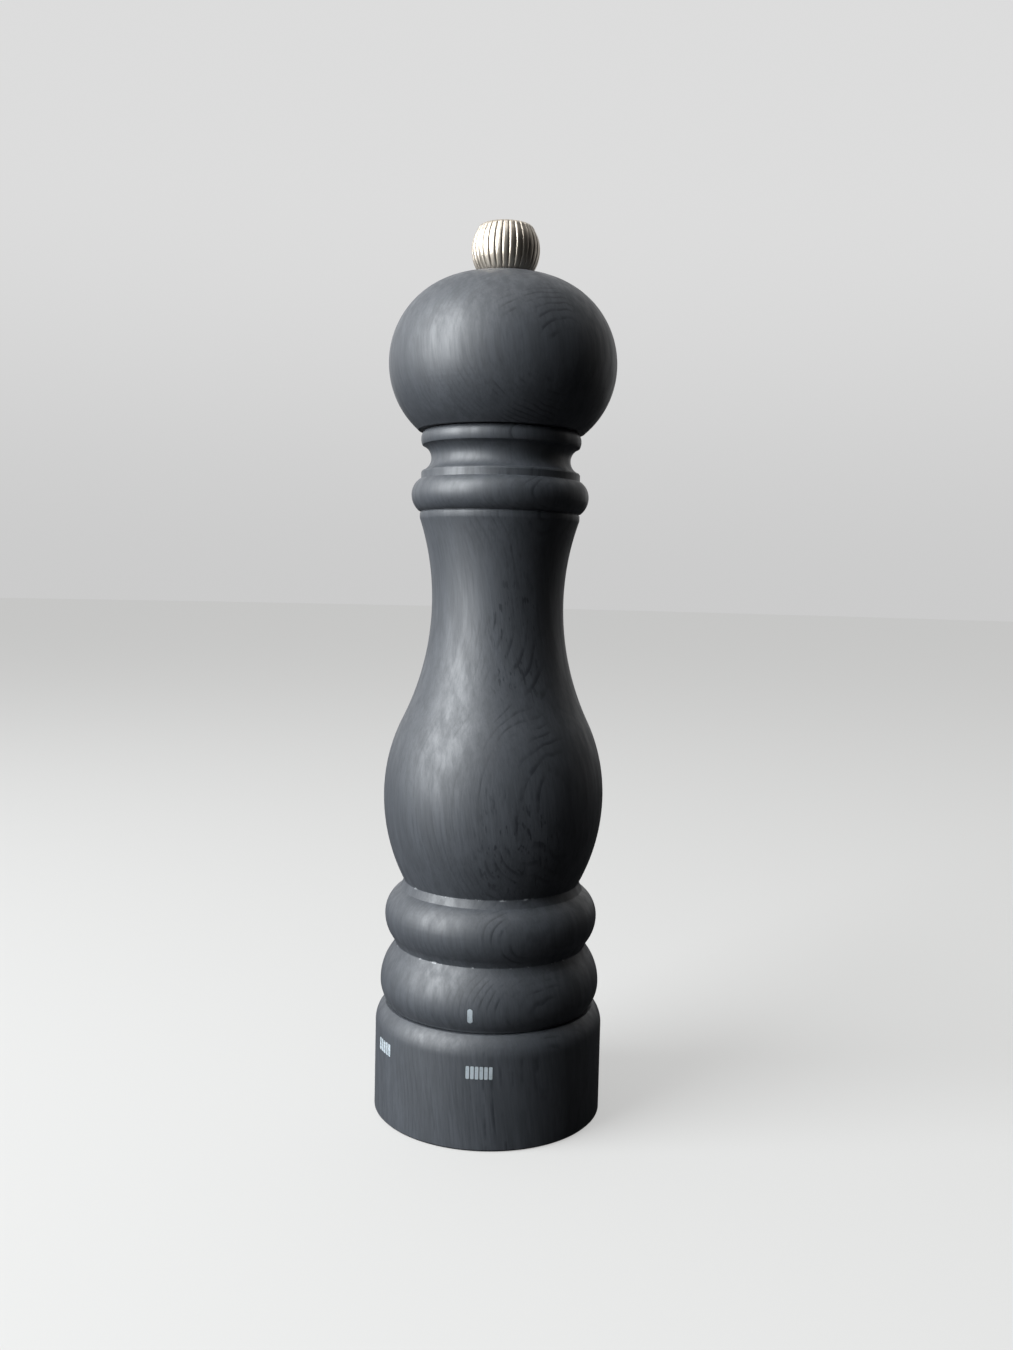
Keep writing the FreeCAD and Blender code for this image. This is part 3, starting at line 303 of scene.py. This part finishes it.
def eased(points, radius, closed=True):
    """The outline with each sharp corner replaced by a small round one."""
    result = []
    for index, here in enumerate(points):
        before, after = points[index - 1], points[(index + 1) % len(points)]
        back, on = Vector(before) - Vector(here), Vector(after) - Vector(here)
        if here[0] < 1e-6 or back.length < 1e-6 or on.length < 1e-6 or back.angle(on) > math.radians(152):
            result.append(here)
            continue
        half = back.angle(on) / 2
        reach = min(radius / math.tan(half), back.length * 0.45, on.length * 0.45)
        begin = Vector(here) + back.normalized() * reach
        end = Vector(here) + on.normalized() * reach
        for k in range(5):
            t = k / 4
            spot = begin * (1 - t) ** 2 + Vector(here) * 2 * t * (1 - t) + end * t ** 2
            result.append((spot.x, spot.y))
    return result


def outline_of(corners, ease=0.15):
    """A closed outline in millimetres from (radius, height) or (radius, height, curve) corners."""
    points = []
    for index, corner in enumerate(corners):
        following = corners[(index + 1) % len(corners)]
        points += arc(corner[:2], following[:2], corner[2] if len(corner) == 3 else 0)
    return eased(points, ease)


def show(name, mesh, body, finish, slot, *nodes):
    """Puts a finished mesh in the scene, riding on its body and standing for its CAD nodes."""
    piece = bpy.data.objects.new(name, mesh)
    bpy.context.scene.collection.objects.link(piece)
    mesh.materials.append(finish)
    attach(piece, body)
    if nodes:
        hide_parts(*nodes)
    return piece


def turned_mesh(name, outline, segments=192, swell=None):
    """The outline swung round the axis. swell(angle, radius, height) may move the surface in or out."""
    mesh = bpy.data.meshes.new(name)
    work = bmesh.new()
    loops = []
    for radius, height in outline:
        if radius < 1e-4:
            loops.append([work.verts.new((0, 0, height * MM))])
            continue
        loop = []
        for k in range(segments):
            angle = 2 * math.pi * k / segments
            r = radius + (swell(angle, radius, height) if swell else 0)
            loop.append(work.verts.new((r * math.cos(angle) * MM, r * math.sin(angle) * MM, height * MM)))
        loops.append(loop)
    for index, lower in enumerate(loops):
        upper = loops[(index + 1) % len(loops)]
        if len(lower) == 1 and len(upper) == 1:
            continue
        for k in range(segments):
            corners = [lower[k % len(lower)], lower[(k + 1) % len(lower)],
                       upper[(k + 1) % len(upper)], upper[k % len(upper)]]
            unique = list(dict.fromkeys(corners))
            work.faces.new(unique)
    bmesh.ops.recalc_face_normals(work, faces=work.faces)
    work.to_mesh(mesh)
    work.free()
    mesh.shade_smooth()
    mesh.set_sharp_from_angle(angle=math.radians(40))
    print("%s: %d points in the outline, %d faces" % (name, len(outline), len(mesh.polygons)))
    return mesh


def below_swell(radius, curve, height):
    """The radius of a swell at a height from its fullest point."""
    return radius - curve + math.sqrt(curve ** 2 - height ** 2)


# %% [markdown]
# ## The body
# From the seam above the ring upwards: two fat beads, the belly, the waist, a bead at the neck, a small
# step, a hollow cove and the collar. Belly and waist are two arcs that meet without a corner, so one sum
# of their radii is fixed by the heights and radii of the fullest and thinnest places.

# %% Turn the body
BORE, MECHANISM_BORE, MECHANISM_TOP = 12.5, 19.3, 39.0
SEAM, COLLAR_TOP = 27.4, 169.65
BELLY, BELLY_Z, BELLY_LOW, BELLY_HIGH = 27.44, 80.0, 46.5, 42.8
WAIST, WAIST_Z, WAIST_HIGH = 16.35, 127.9, 63.5
BAND_Z, GROOVE_Z, CREASE = 148.4, 149.9, 0.3
COVE, COVE_Z, COVE_CURVE, COVE_HALF = 17.19, 163.0, 3.35, 3.15
COLLAR, COLLAR_Z, COLLAR_LOW, COLLAR_HIGH = 19.75, 167.7, 3.6, 2.8
FOOT_BEAD, FOOT_BEAD_Z, FOOT_BEAD_LOW, FOOT_BEAD_HIGH, FOOT_BEAD_END = 27.55, 32.8, 8.0, 13.0, 40.7
FOOT_FLAT, EDGE, CREASE_RADIUS = 25.75, 0.5, 23.95
UPPER_BEAD, UPPER_BEAD_Z, UPPER_BEAD_LOW, UPPER_BEAD_HIGH = 26.65, 49.7, 9.4, 7.6
UPPER_BEAD_START, UPPER_BEAD_END = 43.9, 56.25
NECK_BEAD, NECK_BEAD_Z, NECK_BEAD_LOW, NECK_BEAD_HIGH, NECK_BEAD_TOP = 21.88, 154.1, 5.2, 4.6, 157.8
STEP_RADIUS, STEP_TOP = 19.6, 159.5

curves_sum = ((WAIST_Z - BELLY_Z) ** 2 + (BELLY - WAIST) ** 2) / (2 * (BELLY - WAIST))
share = BELLY_HIGH / curves_sum
cove_edge = COVE + COVE_CURVE - math.sqrt(COVE_CURVE ** 2 - COVE_HALF ** 2)
band = WAIST + WAIST_HIGH - math.sqrt(WAIST_HIGH ** 2 - (BAND_Z - WAIST_Z) ** 2)
body_outline = outline_of([
    (MECHANISM_BORE, SEAM),
    (FOOT_FLAT, SEAM),
    (below_swell(FOOT_BEAD, FOOT_BEAD_LOW, FOOT_BEAD_Z - SEAM - EDGE), SEAM + EDGE, FOOT_BEAD_LOW),
    (FOOT_BEAD, FOOT_BEAD_Z, FOOT_BEAD_HIGH),
    (below_swell(FOOT_BEAD, FOOT_BEAD_HIGH, FOOT_BEAD_END - FOOT_BEAD_Z), FOOT_BEAD_END),
    (CREASE_RADIUS, LOWER_CREASE),
    (below_swell(UPPER_BEAD, UPPER_BEAD_LOW, UPPER_BEAD_Z - UPPER_BEAD_START), UPPER_BEAD_START,
     UPPER_BEAD_LOW),
    (UPPER_BEAD, UPPER_BEAD_Z, UPPER_BEAD_HIGH),
    (below_swell(UPPER_BEAD, UPPER_BEAD_HIGH, UPPER_BEAD_END - UPPER_BEAD_Z), UPPER_BEAD_END),
    (below_swell(BELLY, BELLY_LOW, BELLY_Z - UPPER_CREASE), UPPER_CREASE, BELLY_LOW),
    (BELLY, BELLY_Z, BELLY_HIGH),
    (BELLY - (BELLY - WAIST) * share, BELLY_Z + (WAIST_Z - BELLY_Z) * share, BELLY_HIGH - curves_sum),
    (WAIST, WAIST_Z, -WAIST_HIGH),
    (band, BAND_Z),
    (band, GROOVE_Z - CREASE),
    (band - CREASE, GROOVE_Z),
    (below_swell(NECK_BEAD, NECK_BEAD_LOW, NECK_BEAD_Z - GROOVE_Z - CREASE), GROOVE_Z + CREASE,
     NECK_BEAD_LOW),
    (NECK_BEAD, NECK_BEAD_Z, NECK_BEAD_HIGH),
    (below_swell(NECK_BEAD, NECK_BEAD_HIGH, NECK_BEAD_TOP - NECK_BEAD_Z), NECK_BEAD_TOP),
    (STEP_RADIUS, NECK_BEAD_TOP),
    (STEP_RADIUS, STEP_TOP),
    (cove_edge, COVE_Z - COVE_HALF, -COVE_CURVE),
    (cove_edge, COVE_Z + COVE_HALF, COLLAR_LOW),
    (COLLAR, COLLAR_Z, COLLAR_HIGH),
    (below_swell(COLLAR, COLLAR_HIGH, COLLAR_TOP - COLLAR_Z), COLLAR_TOP),
    (BORE + EDGE, COLLAR_TOP),
    (BORE, COLLAR_TOP - EDGE),
    (BORE, MECHANISM_TOP),
    (MECHANISM_BORE, MECHANISM_TOP),
], ease=0.25)
show("turned_body", turned_mesh("turned_body", body_outline), "mill", body_wood, "dark_wood", "mill_body")

# %% [markdown]
# ## The head
# A flattened ball that is turned by hand. Its underside has a tenon that sits in the body's mouth, and a
# hole for the shaft goes right through.

# %% Turn the head
HEAD, HEAD_Z, HEAD_LOW, HEAD_HIGH = 27.93, 185.9, 21.0, 21.3
HEAD_BOTTOM, HEAD_EDGE, HEAD_SEAT = 169.8, 0.4, 207.2
HEAD_BORE, TENON, TENON_EDGE, TENON_BOTTOM = 3.9, 12.3, 0.6, 161.0
SEAT_START, SEAT, SEAT_CHAMFER = 9.6, 8.0, 0.3
rim = below_swell(HEAD, HEAD_LOW, HEAD_Z - HEAD_BOTTOM - HEAD_EDGE)
head_outline = outline_of([
    (HEAD_BORE, TENON_BOTTOM),
    (TENON - TENON_EDGE, TENON_BOTTOM),
    (TENON, TENON_BOTTOM + TENON_EDGE),
    (TENON, HEAD_BOTTOM),
    (rim - HEAD_EDGE, HEAD_BOTTOM),
    (rim, HEAD_BOTTOM + HEAD_EDGE, HEAD_LOW),
    (HEAD, HEAD_Z, HEAD_HIGH),
    (SEAT_START, HEAD_Z + math.sqrt(HEAD_HIGH ** 2 - (SEAT_START - HEAD + HEAD_HIGH) ** 2)),
    (SEAT, HEAD_SEAT),
    (HEAD_BORE + SEAT_CHAMFER, HEAD_SEAT),
    (HEAD_BORE, HEAD_SEAT - SEAT_CHAMFER),
])
show("turned_head", turned_mesh("turned_head", head_outline), "head", head_wood, "dark_wood", "head")

# %% [markdown]
# ## The grind ring
# The foot is a plain cylinder with a rounded shoulder. It is hollow, and the moulded nut of the mechanism
# fills it.

# %% Turn the ring
RING, RING_TOP, SHOULDER_RISE, SHOULDER_CURVE = 28.6, 27.2, 5.0, 6.6
RING_CHAMFER, NUT_RECESS, NUT_TOP, RING_BORE, FLANGE_RECESS, FLANGE_FLOOR = 0.5, 25.6, 7.0, 22.9, 24.4, 24.0
ring_outline = outline_of([
    (NUT_RECESS, 0.0),
    (RING - RING_CHAMFER, 0.0),
    (RING, RING_CHAMFER),
    (RING, RING_TOP - SHOULDER_RISE, SHOULDER_CURVE),
    (below_swell(RING, SHOULDER_CURVE, SHOULDER_RISE), RING_TOP),
    (FLANGE_RECESS, RING_TOP),
    (FLANGE_RECESS, FLANGE_FLOOR),
    (RING_BORE, FLANGE_FLOOR),
    (RING_BORE, NUT_TOP),
    (NUT_RECESS, NUT_TOP),
])
show("turned_ring", turned_mesh("turned_ring", ring_outline), "grind_ring", ring_wood, "dark_wood",
     "grind_ring")

# %% [markdown]
# ## The printed marks
# White ink shows which grind is set. One bar on the lowest bead points at groups of stripes round the
# ring: six thin stripes for the finest grind, then five, four, three, and two broad ones for the
# coarsest. Each group is as wide as the others. An image could carry them, but ink is a real thin layer,
# so each stripe is a thin patch that follows the surface a hair's breadth above it.

# %% Print the marks
INK = 0.02
STEP, FIRST_GROUP = 58.0, -3.75            # degrees from the front towards +X
GROUP_WIDTH, GAP = 6.3, 0.26
MARK_LOW, MARK_HIGH = 17.5, 20.55
INDEX_AZIMUTH, INDEX_WIDTH, INDEX_LOW, INDEX_HIGH = -8.95, 1.25, 30.25, 33.75

ink = Finish("white_ink", (0.52, 0.58, 0.62), roughness=0.5, specular=0.4)
worn = ink.noise(ink.place((2.5, 2.5, 2.5)), 1.0, 3.0)
ink.colour(ink.mix(ink.between(worn, 0.55, 0.75), (0.52, 0.58, 0.62), (0.40, 0.45, 0.49)))
ink.roughness(ink.between(worn, 0.3, 0.7, 0.45, 0.6))


def ink_patch(work, azimuth, width, low, high, radius_at, rounded=0.0):
    """One stripe of ink. azimuth is in degrees; width, low and high are in millimetres."""
    rows, columns = 14, 4
    for_row = []
    for i in range(rows + 1):
        height = low + (high - low) * i / rows
        from_end = min(height - low, high - height)
        inset = rounded - math.sqrt(max(0.0, rounded ** 2 - (rounded - min(from_end, rounded)) ** 2))
        radius = radius_at(height) + INK
        half = max(width / 2 - inset, 0.02) / radius
        line = []
        for j in range(columns + 1):
            angle = math.radians(azimuth) + half * (2 * j / columns - 1)
            line.append(work.verts.new((radius * math.sin(angle) * MM, -radius * math.cos(angle) * MM,
                                        height * MM)))
        for_row.append(line)
    for i in range(rows):
        for j in range(columns):
            work.faces.new((for_row[i][j], for_row[i][j + 1], for_row[i + 1][j + 1], for_row[i + 1][j]))


def print_marks(name, body, stripes, rounded):
    """All the stripes of one piece as one thin mesh of ink with a thickness of its own."""
    mesh = bpy.data.meshes.new(name)
    work = bmesh.new()
    for azimuth, width, low, high, radius_at in stripes:
        ink_patch(work, azimuth, width, low, high, radius_at, rounded)
    bmesh.ops.solidify(work, geom=work.faces[:], thickness=0.04 * MM)
    bmesh.ops.recalc_face_normals(work, faces=work.faces)
    work.to_mesh(mesh)
    work.free()
    mesh.shade_smooth()
    mesh.set_sharp_from_angle(angle=math.radians(40))
    return show(name, mesh, body, ink.material, "mark_ink")


stripes = []
for group, count in enumerate((6, 5, 4, 3, 2)):
    stripe = (GROUP_WIDTH - GAP * (count - 1)) / count
    for k in range(count):
        across = -GROUP_WIDTH / 2 + stripe / 2 + k * (stripe + GAP)
        azimuth = FIRST_GROUP - STEP * group + math.degrees(across / RING)
        stripes.append((azimuth, stripe, MARK_LOW, MARK_HIGH, lambda height: RING))
print_marks("grind_marks", "grind_ring", stripes, 0.12)


def foot_bead_at(height):
    """The lowest bead's radius at a height."""
    curve = FOOT_BEAD_LOW if height < FOOT_BEAD_Z else FOOT_BEAD_HIGH
    return below_swell(FOOT_BEAD, curve, height - FOOT_BEAD_Z)


print_marks("index_mark", "mill", [(INDEX_AZIMUTH, INDEX_WIDTH, INDEX_LOW, INDEX_HIGH, foot_bead_at)], 0.5)
print("ink stripes:", len(stripes) + 1)

# %% [markdown]
# ## The knob
# A nickel-plated nut shaped like a small goblet, with thirty ribs for the fingers. The ribs follow the
# goblet's curve and close in at its top and foot. The lathe's outline gives the goblet, and a wave round
# it cuts narrow grooves between broad ribs, fading out on the top and at the foot.

# %% Turn the knob and cut its ribs
TOP, KNOB, KNOB_Z, KNOB_FOOT_Z = 220.0, 8.38, 213.6, 208.05
RIBS, GROOVE = 30, 0.26
knob_outline = outline_of([
    (2.5, KNOB_FOOT_Z),
    (6.4, KNOB_FOOT_Z),
    (below_swell(KNOB, 9.0, KNOB_Z - KNOB_FOOT_Z - 0.3), KNOB_FOOT_Z + 0.3, 9.0),
    (KNOB, KNOB_Z, 8.5),
    (below_swell(KNOB, 8.5, 4.5), KNOB_Z + 4.5, 1.69),
    (5.7, 219.45, 29.8),
    (0.0, TOP),
    (0.0, 216.55),
    (2.5, 216.55),
], ease=0.1)


def rib(angle, radius, height):
    """How far the surface dips at this angle: narrow grooves between broad ribs."""
    wave = abs(math.sin(angle * RIBS / 2))
    depth = GROOVE * (1 - wave ** 0.8) ** 2.0
    fade = min(1.0, max(0.0, (radius - 5.0) / 1.6)) * min(1.0, max(0.0, (height - KNOB_FOOT_Z) / 0.6))
    return -depth * fade if radius > 3 else 0.0


nickel = Finish("satin_nickel", (0.52, 0.47, 0.40), metallic=1.0, roughness=0.38)
tarnish = nickel.noise(nickel.place((0.5, 0.5, 0.35)), 1.0, 3.0)
fine = nickel.noise(nickel.place((9, 9, 0.8)), 1.0, 2.0)
nickel.colour(nickel.mix(nickel.between(tarnish, 0.35, 0.7), (0.55, 0.50, 0.43), (0.45, 0.40, 0.34)))
nickel.roughness(nickel.between(fine, 0.3, 0.7, 0.34, 0.44))
nickel.bump(fine, 0.01, 0.4)
show("fluted_knob", turned_mesh("fluted_knob", knob_outline, RIBS * 16, rib), "knob", nickel.material,
     "knob_metal", "knob")

# %% [markdown]
# ## The shaft
# A square aluminium bar with a turned, threaded end for the knob. The CAD bar is plain where the thread
# goes. A thread is a groove that climbs as it goes round, so its surface is a tube whose radius rises and
# falls with height minus turn. That is easier to make exactly than to cut with a Boolean along a Screw.

# %% Draw the bar and cut its thread
SHAFT_HALF, SHAFT_CORNER = 2.5, 0.25
SHAFT_FOOT, SHOULDER, SHAFT_TOP = 8.0, 204.5, 215.8
THREAD_OUT, THREAD_IN, PITCH_MM = 2.42, 1.98, 0.8


def threaded_end(work, low, high, around=48, per_turn=10):
    """A threaded rod from low to high, closed at its top by a small chamfer and a flat end."""
    rows = int((high - low) / PITCH_MM * per_turn)
    loops = []
    for i in range(rows + 1):
        height = low + (high - low) * i / rows
        loop = []
        for j in range(around):
            angle = 2 * math.pi * j / around
            phase = (height / PITCH_MM - j / around) % 1.0
            ridge = 1 - abs(2 * phase - 1)
            taper = min(1.0, (high - height) / 0.6)
            radius = THREAD_IN + (THREAD_OUT - THREAD_IN) * min(1.0, ridge * 1.25) * taper
            loop.append(work.verts.new((radius * math.cos(angle) * MM, radius * math.sin(angle) * MM,
                                        height * MM)))
        loops.append(loop)
    for lower, upper in zip(loops, loops[1:]):
        for j in range(around):
            k = (j + 1) % around
            work.faces.new((lower[j], lower[k], upper[k], upper[j]))
    work.faces.new(loops[-1])
    work.faces.new(loops[0][::-1])


def square_bar(work, low, high):
    """A square bar with small flats at its corners, chamfered at its upper end."""
    side, flat = SHAFT_HALF, SHAFT_HALF - SHAFT_CORNER
    section = [(side, flat), (flat, side), (-flat, side), (-side, flat), (-side, -flat), (-flat, -side),
               (flat, -side), (side, -flat)]
    loops = []
    for height, scale in ((low, 1.0), (high - 0.5, 1.0), (high, 0.84)):
        loops.append([work.verts.new((x * scale * MM, y * scale * MM, height * MM)) for x, y in section])
    for lower, upper in zip(loops, loops[1:]):
        for j in range(8):
            k = (j + 1) % 8
            work.faces.new((lower[j], lower[k], upper[k], upper[j]))
    work.faces.new(loops[-1])
    work.faces.new(loops[0][::-1])


shaft_mesh = bpy.data.meshes.new("drawn_shaft")
work = bmesh.new()
square_bar(work, SHAFT_FOOT, SHOULDER)
threaded_end(work, SHOULDER - 0.5, SHAFT_TOP)
threaded_end(work, 4.2, SHAFT_FOOT + 0.5)
bmesh.ops.recalc_face_normals(work, faces=work.faces)
work.to_mesh(shaft_mesh)
work.free()
shaft_mesh.shade_smooth()
shaft_mesh.set_sharp_from_angle(angle=math.radians(30))

drawn = Finish("drawn_aluminium", (0.72, 0.72, 0.73), metallic=1.0, roughness=0.32)
streaks = drawn.noise(drawn.place((6, 6, 0.05)), 1.0, 3.0, 0.6)
drawn.colour(drawn.mix(drawn.between(streaks, 0.3, 0.7), (0.76, 0.76, 0.77), (0.60, 0.60, 0.62)))
drawn.roughness(drawn.between(streaks, 0.3, 0.7, 0.26, 0.42))
drawn.bump(streaks, 0.02, 0.4)
show("drawn_shaft", shaft_mesh, "drive", drawn.material, "shaft_metal", "drive_shaft")
print("shaft faces:", len(shaft_mesh.polygons))

# %% [markdown]
# ## Finishes for the mechanism
# The burrs, bridge, screws, clips and mouldings come straight from the frame, because their shapes are
# right. They only need finishes: stamped stainless with a brushed look, dark hardened burr steel,
# yellowish zinc on the screws, bright spring wire, black moulded plastic with a fine spark texture, and a
# cream acetal bush.

# %% Metal and plastic finishes
def metal_finish(name, bright, dull, rough_low, rough_high, stretch, relief=0.01):
    """A metal whose tone and roughness vary along brush lines or patches, set by the stretch."""
    metal = Finish(name, bright, metallic=1.0, roughness=rough_low)
    lines = metal.noise(metal.place(stretch), 1.0, 3.0, 0.6)
    spots = metal.noise(metal.place((0.35, 0.35, 0.35)), 1.0, 2.0)
    tone = metal.mix(metal.between(lines, 0.3, 0.7), bright, dull)
    metal.colour(metal.mix(metal.between(spots, 0.5, 0.8, 0.0, 0.5), tone, dull))
    metal.roughness(metal.between(lines, 0.3, 0.7, rough_low, rough_high))
    metal.bump(lines, relief, 0.5)
    return metal.material


def moulded_finish(name, tone, worn_tone, rough_low, rough_high):
    """Moulded plastic: an even tone, a fine texture from the mould and slightly shiny rubbed patches."""
    plastic = Finish(name, tone, roughness=rough_low, specular=0.45)
    spark = plastic.noise(plastic.place((6, 6, 6)), 1.0, 2.0)
    cloud = plastic.noise(plastic.place((0.12, 0.12, 0.12)), 1.0, 3.0)
    plastic.colour(plastic.mix(plastic.between(cloud, 0.4, 0.75, 0.0, 0.8), tone, worn_tone))
    plastic.roughness(plastic.between(cloud, 0.3, 0.7, rough_low, rough_high))
    plastic.bump(spark, 0.02, 0.35)
    return plastic.material


finishes = {
    "bridge_steel": metal_finish("stamped_stainless", (0.60, 0.60, 0.60), (0.44, 0.44, 0.45),
                                 0.25, 0.42, (7, 0.3, 7)),
    "burr_steel": metal_finish("hardened_burr_steel", (0.26, 0.26, 0.27), (0.13, 0.13, 0.14),
                               0.32, 0.5, (2, 2, 2)),
    "spring_steel": metal_finish("spring_steel", (0.56, 0.56, 0.56), (0.40, 0.40, 0.41),
                                 0.25, 0.4, (4, 4, 4)),
    "screw_steel": metal_finish("zinc_plate", (0.64, 0.60, 0.50), (0.48, 0.44, 0.36),
                                0.28, 0.42, (5, 5, 5)),
    "washer_metal": metal_finish("plated_washer", (0.60, 0.59, 0.57), (0.46, 0.45, 0.43),
                                 0.25, 0.4, (5, 5, 5)),
    "black_moulding": moulded_finish("black_moulding", (0.022, 0.022, 0.024), (0.035, 0.035, 0.037),
                                     0.42, 0.55),
    "bush_moulding": moulded_finish("acetal", (0.70, 0.68, 0.62), (0.60, 0.57, 0.50), 0.38, 0.5),
}
slot_of = {row["node"]: row["material_slot"] for row in frame["record"]["subparts"]}
carried = 0
for node, piece in frame["nodes"].items():
    if slot_of[node] not in finishes:
        continue
    piece.data.materials.clear()
    piece.data.materials.append(finishes[slot_of[node]])
    piece.data.shade_smooth()
    piece.data.set_sharp_from_angle(angle=math.radians(30))
    carried += 1
print("carried nodes with a finish:", carried)

# %% [markdown]
# ## Floor and light
# The mill stands on a plain pale floor. A tall soft light on the left does the modelling, as a window
# would, and a weak wide one overhead lifts the tops of the beads. The room that lights the mill is darker
# towards the front right, so that side of the wood falls away into shade. Camera rays see something else:
# a pale backdrop that lifts with height, and a pale floor with a little glow of its own. The floor that
# the mill's light bounces off is dark, which keeps the undersides of the beads deep. It is a studio
# cheat, and it would not hold in a real room.

# %% The floor
floor_mesh = bpy.data.meshes.new("floor")
floor_work = bmesh.new()
bmesh.ops.create_circle(floor_work, cap_ends=True, radius=6.0, segments=96)
floor_work.to_mesh(floor_mesh)
floor_work.free()
floor = bpy.data.objects.new("floor", floor_mesh)
floor.location.z = -0.00005
bpy.context.scene.collection.objects.link(floor)
FLOOR_SEEN, FLOOR_BOUNCE, FLOOR_GLOW = (0.17, 0.17, 0.168), (0.03, 0.03, 0.032), 0.49
floor_finish = Finish("pale_floor", FLOOR_SEEN, roughness=0.8, specular=0.0)
camera_ray = floor_finish.add("ShaderNodeLightPath").outputs["Is Camera Ray"]
floor_finish.colour(floor_finish.mix(camera_ray, FLOOR_BOUNCE, FLOOR_SEEN))
floor_finish.links.new(floor_finish.math("MULTIPLY", camera_ray, FLOOR_GLOW),
                       floor_finish.shader.inputs["Emission Strength"])
floor_finish.shader.inputs["Emission Color"].default_value = (1.0, 1.0, 0.99, 1)
floor_mesh.materials.append(floor_finish.material)

# %% The lights and the room
def soft_light(name, azimuth, elevation, distance, width, height, power, tint):
    """An area light that faces the mill's middle. azimuth is from the front towards +X."""
    lamp = bpy.data.lights.new(name, "AREA")
    lamp.shape = "RECTANGLE"
    lamp.size, lamp.size_y, lamp.energy, lamp.color = width, height, power, tint
    holder = bpy.data.objects.new(name, lamp)
    a, e = math.radians(azimuth), math.radians(elevation)
    middle = Vector((0, 0, 0.12))
    away = Vector((math.sin(a) * math.cos(e), -math.cos(a) * math.cos(e), math.sin(e)))
    holder.location = middle + away * distance
    holder.rotation_euler = away.to_track_quat("Z", "Y").to_euler()
    bpy.context.scene.collection.objects.link(holder)


soft_light("window", -62, 26, 0.9, 0.7, 0.9, 29.0, (0.95, 0.98, 1.0))
soft_light("ceiling", -30, 75, 1.3, 0.8, 0.8, 4.0, (1.0, 0.99, 0.97))

world = bpy.data.worlds.new("pale_room")
bpy.context.scene.world = world
world.use_nodes = True
room = world.node_tree
direction = room.nodes.new("ShaderNodeTexCoord").outputs["Generated"]


def room_tone(toward, low, high, dark, pale):
    """A tone that runs from dark to pale as the direction turns towards one way."""
    reach = room.nodes.new("ShaderNodeVectorMath")
    reach.operation = "DOT_PRODUCT"
    reach.inputs[1].default_value = Vector(toward).normalized()
    room.links.new(direction, reach.inputs[0])
    ramp = room.nodes.new("ShaderNodeMapRange")
    ramp.interpolation_type = "SMOOTHSTEP"
    for socket, value in (("From Min", low), ("From Max", high), ("To Min", dark), ("To Max", pale)):
        ramp.inputs[socket].default_value = value
    room.links.new(reach.outputs["Value"], ramp.inputs["Value"])
    return ramp.outputs[0]


lighting = room_tone((-0.50, 0.86, 0.1), -0.6, 0.85, 0.008, 0.95)
backdrop = room_tone((0, 0, 1), -0.02, 0.30, 0.60, 0.72)
choose = room.nodes.new("ShaderNodeMix")
choose.data_type = "RGBA"
room.links.new(room.nodes.new("ShaderNodeLightPath").outputs["Is Camera Ray"], choose.inputs[0])
room.links.new(lighting, choose.inputs[6])
room.links.new(backdrop, choose.inputs[7])
room.links.new(choose.outputs[2], room.nodes["Background"].inputs["Color"])
bpy.context.scene.view_settings.view_transform = "Standard"
print("lights ready")
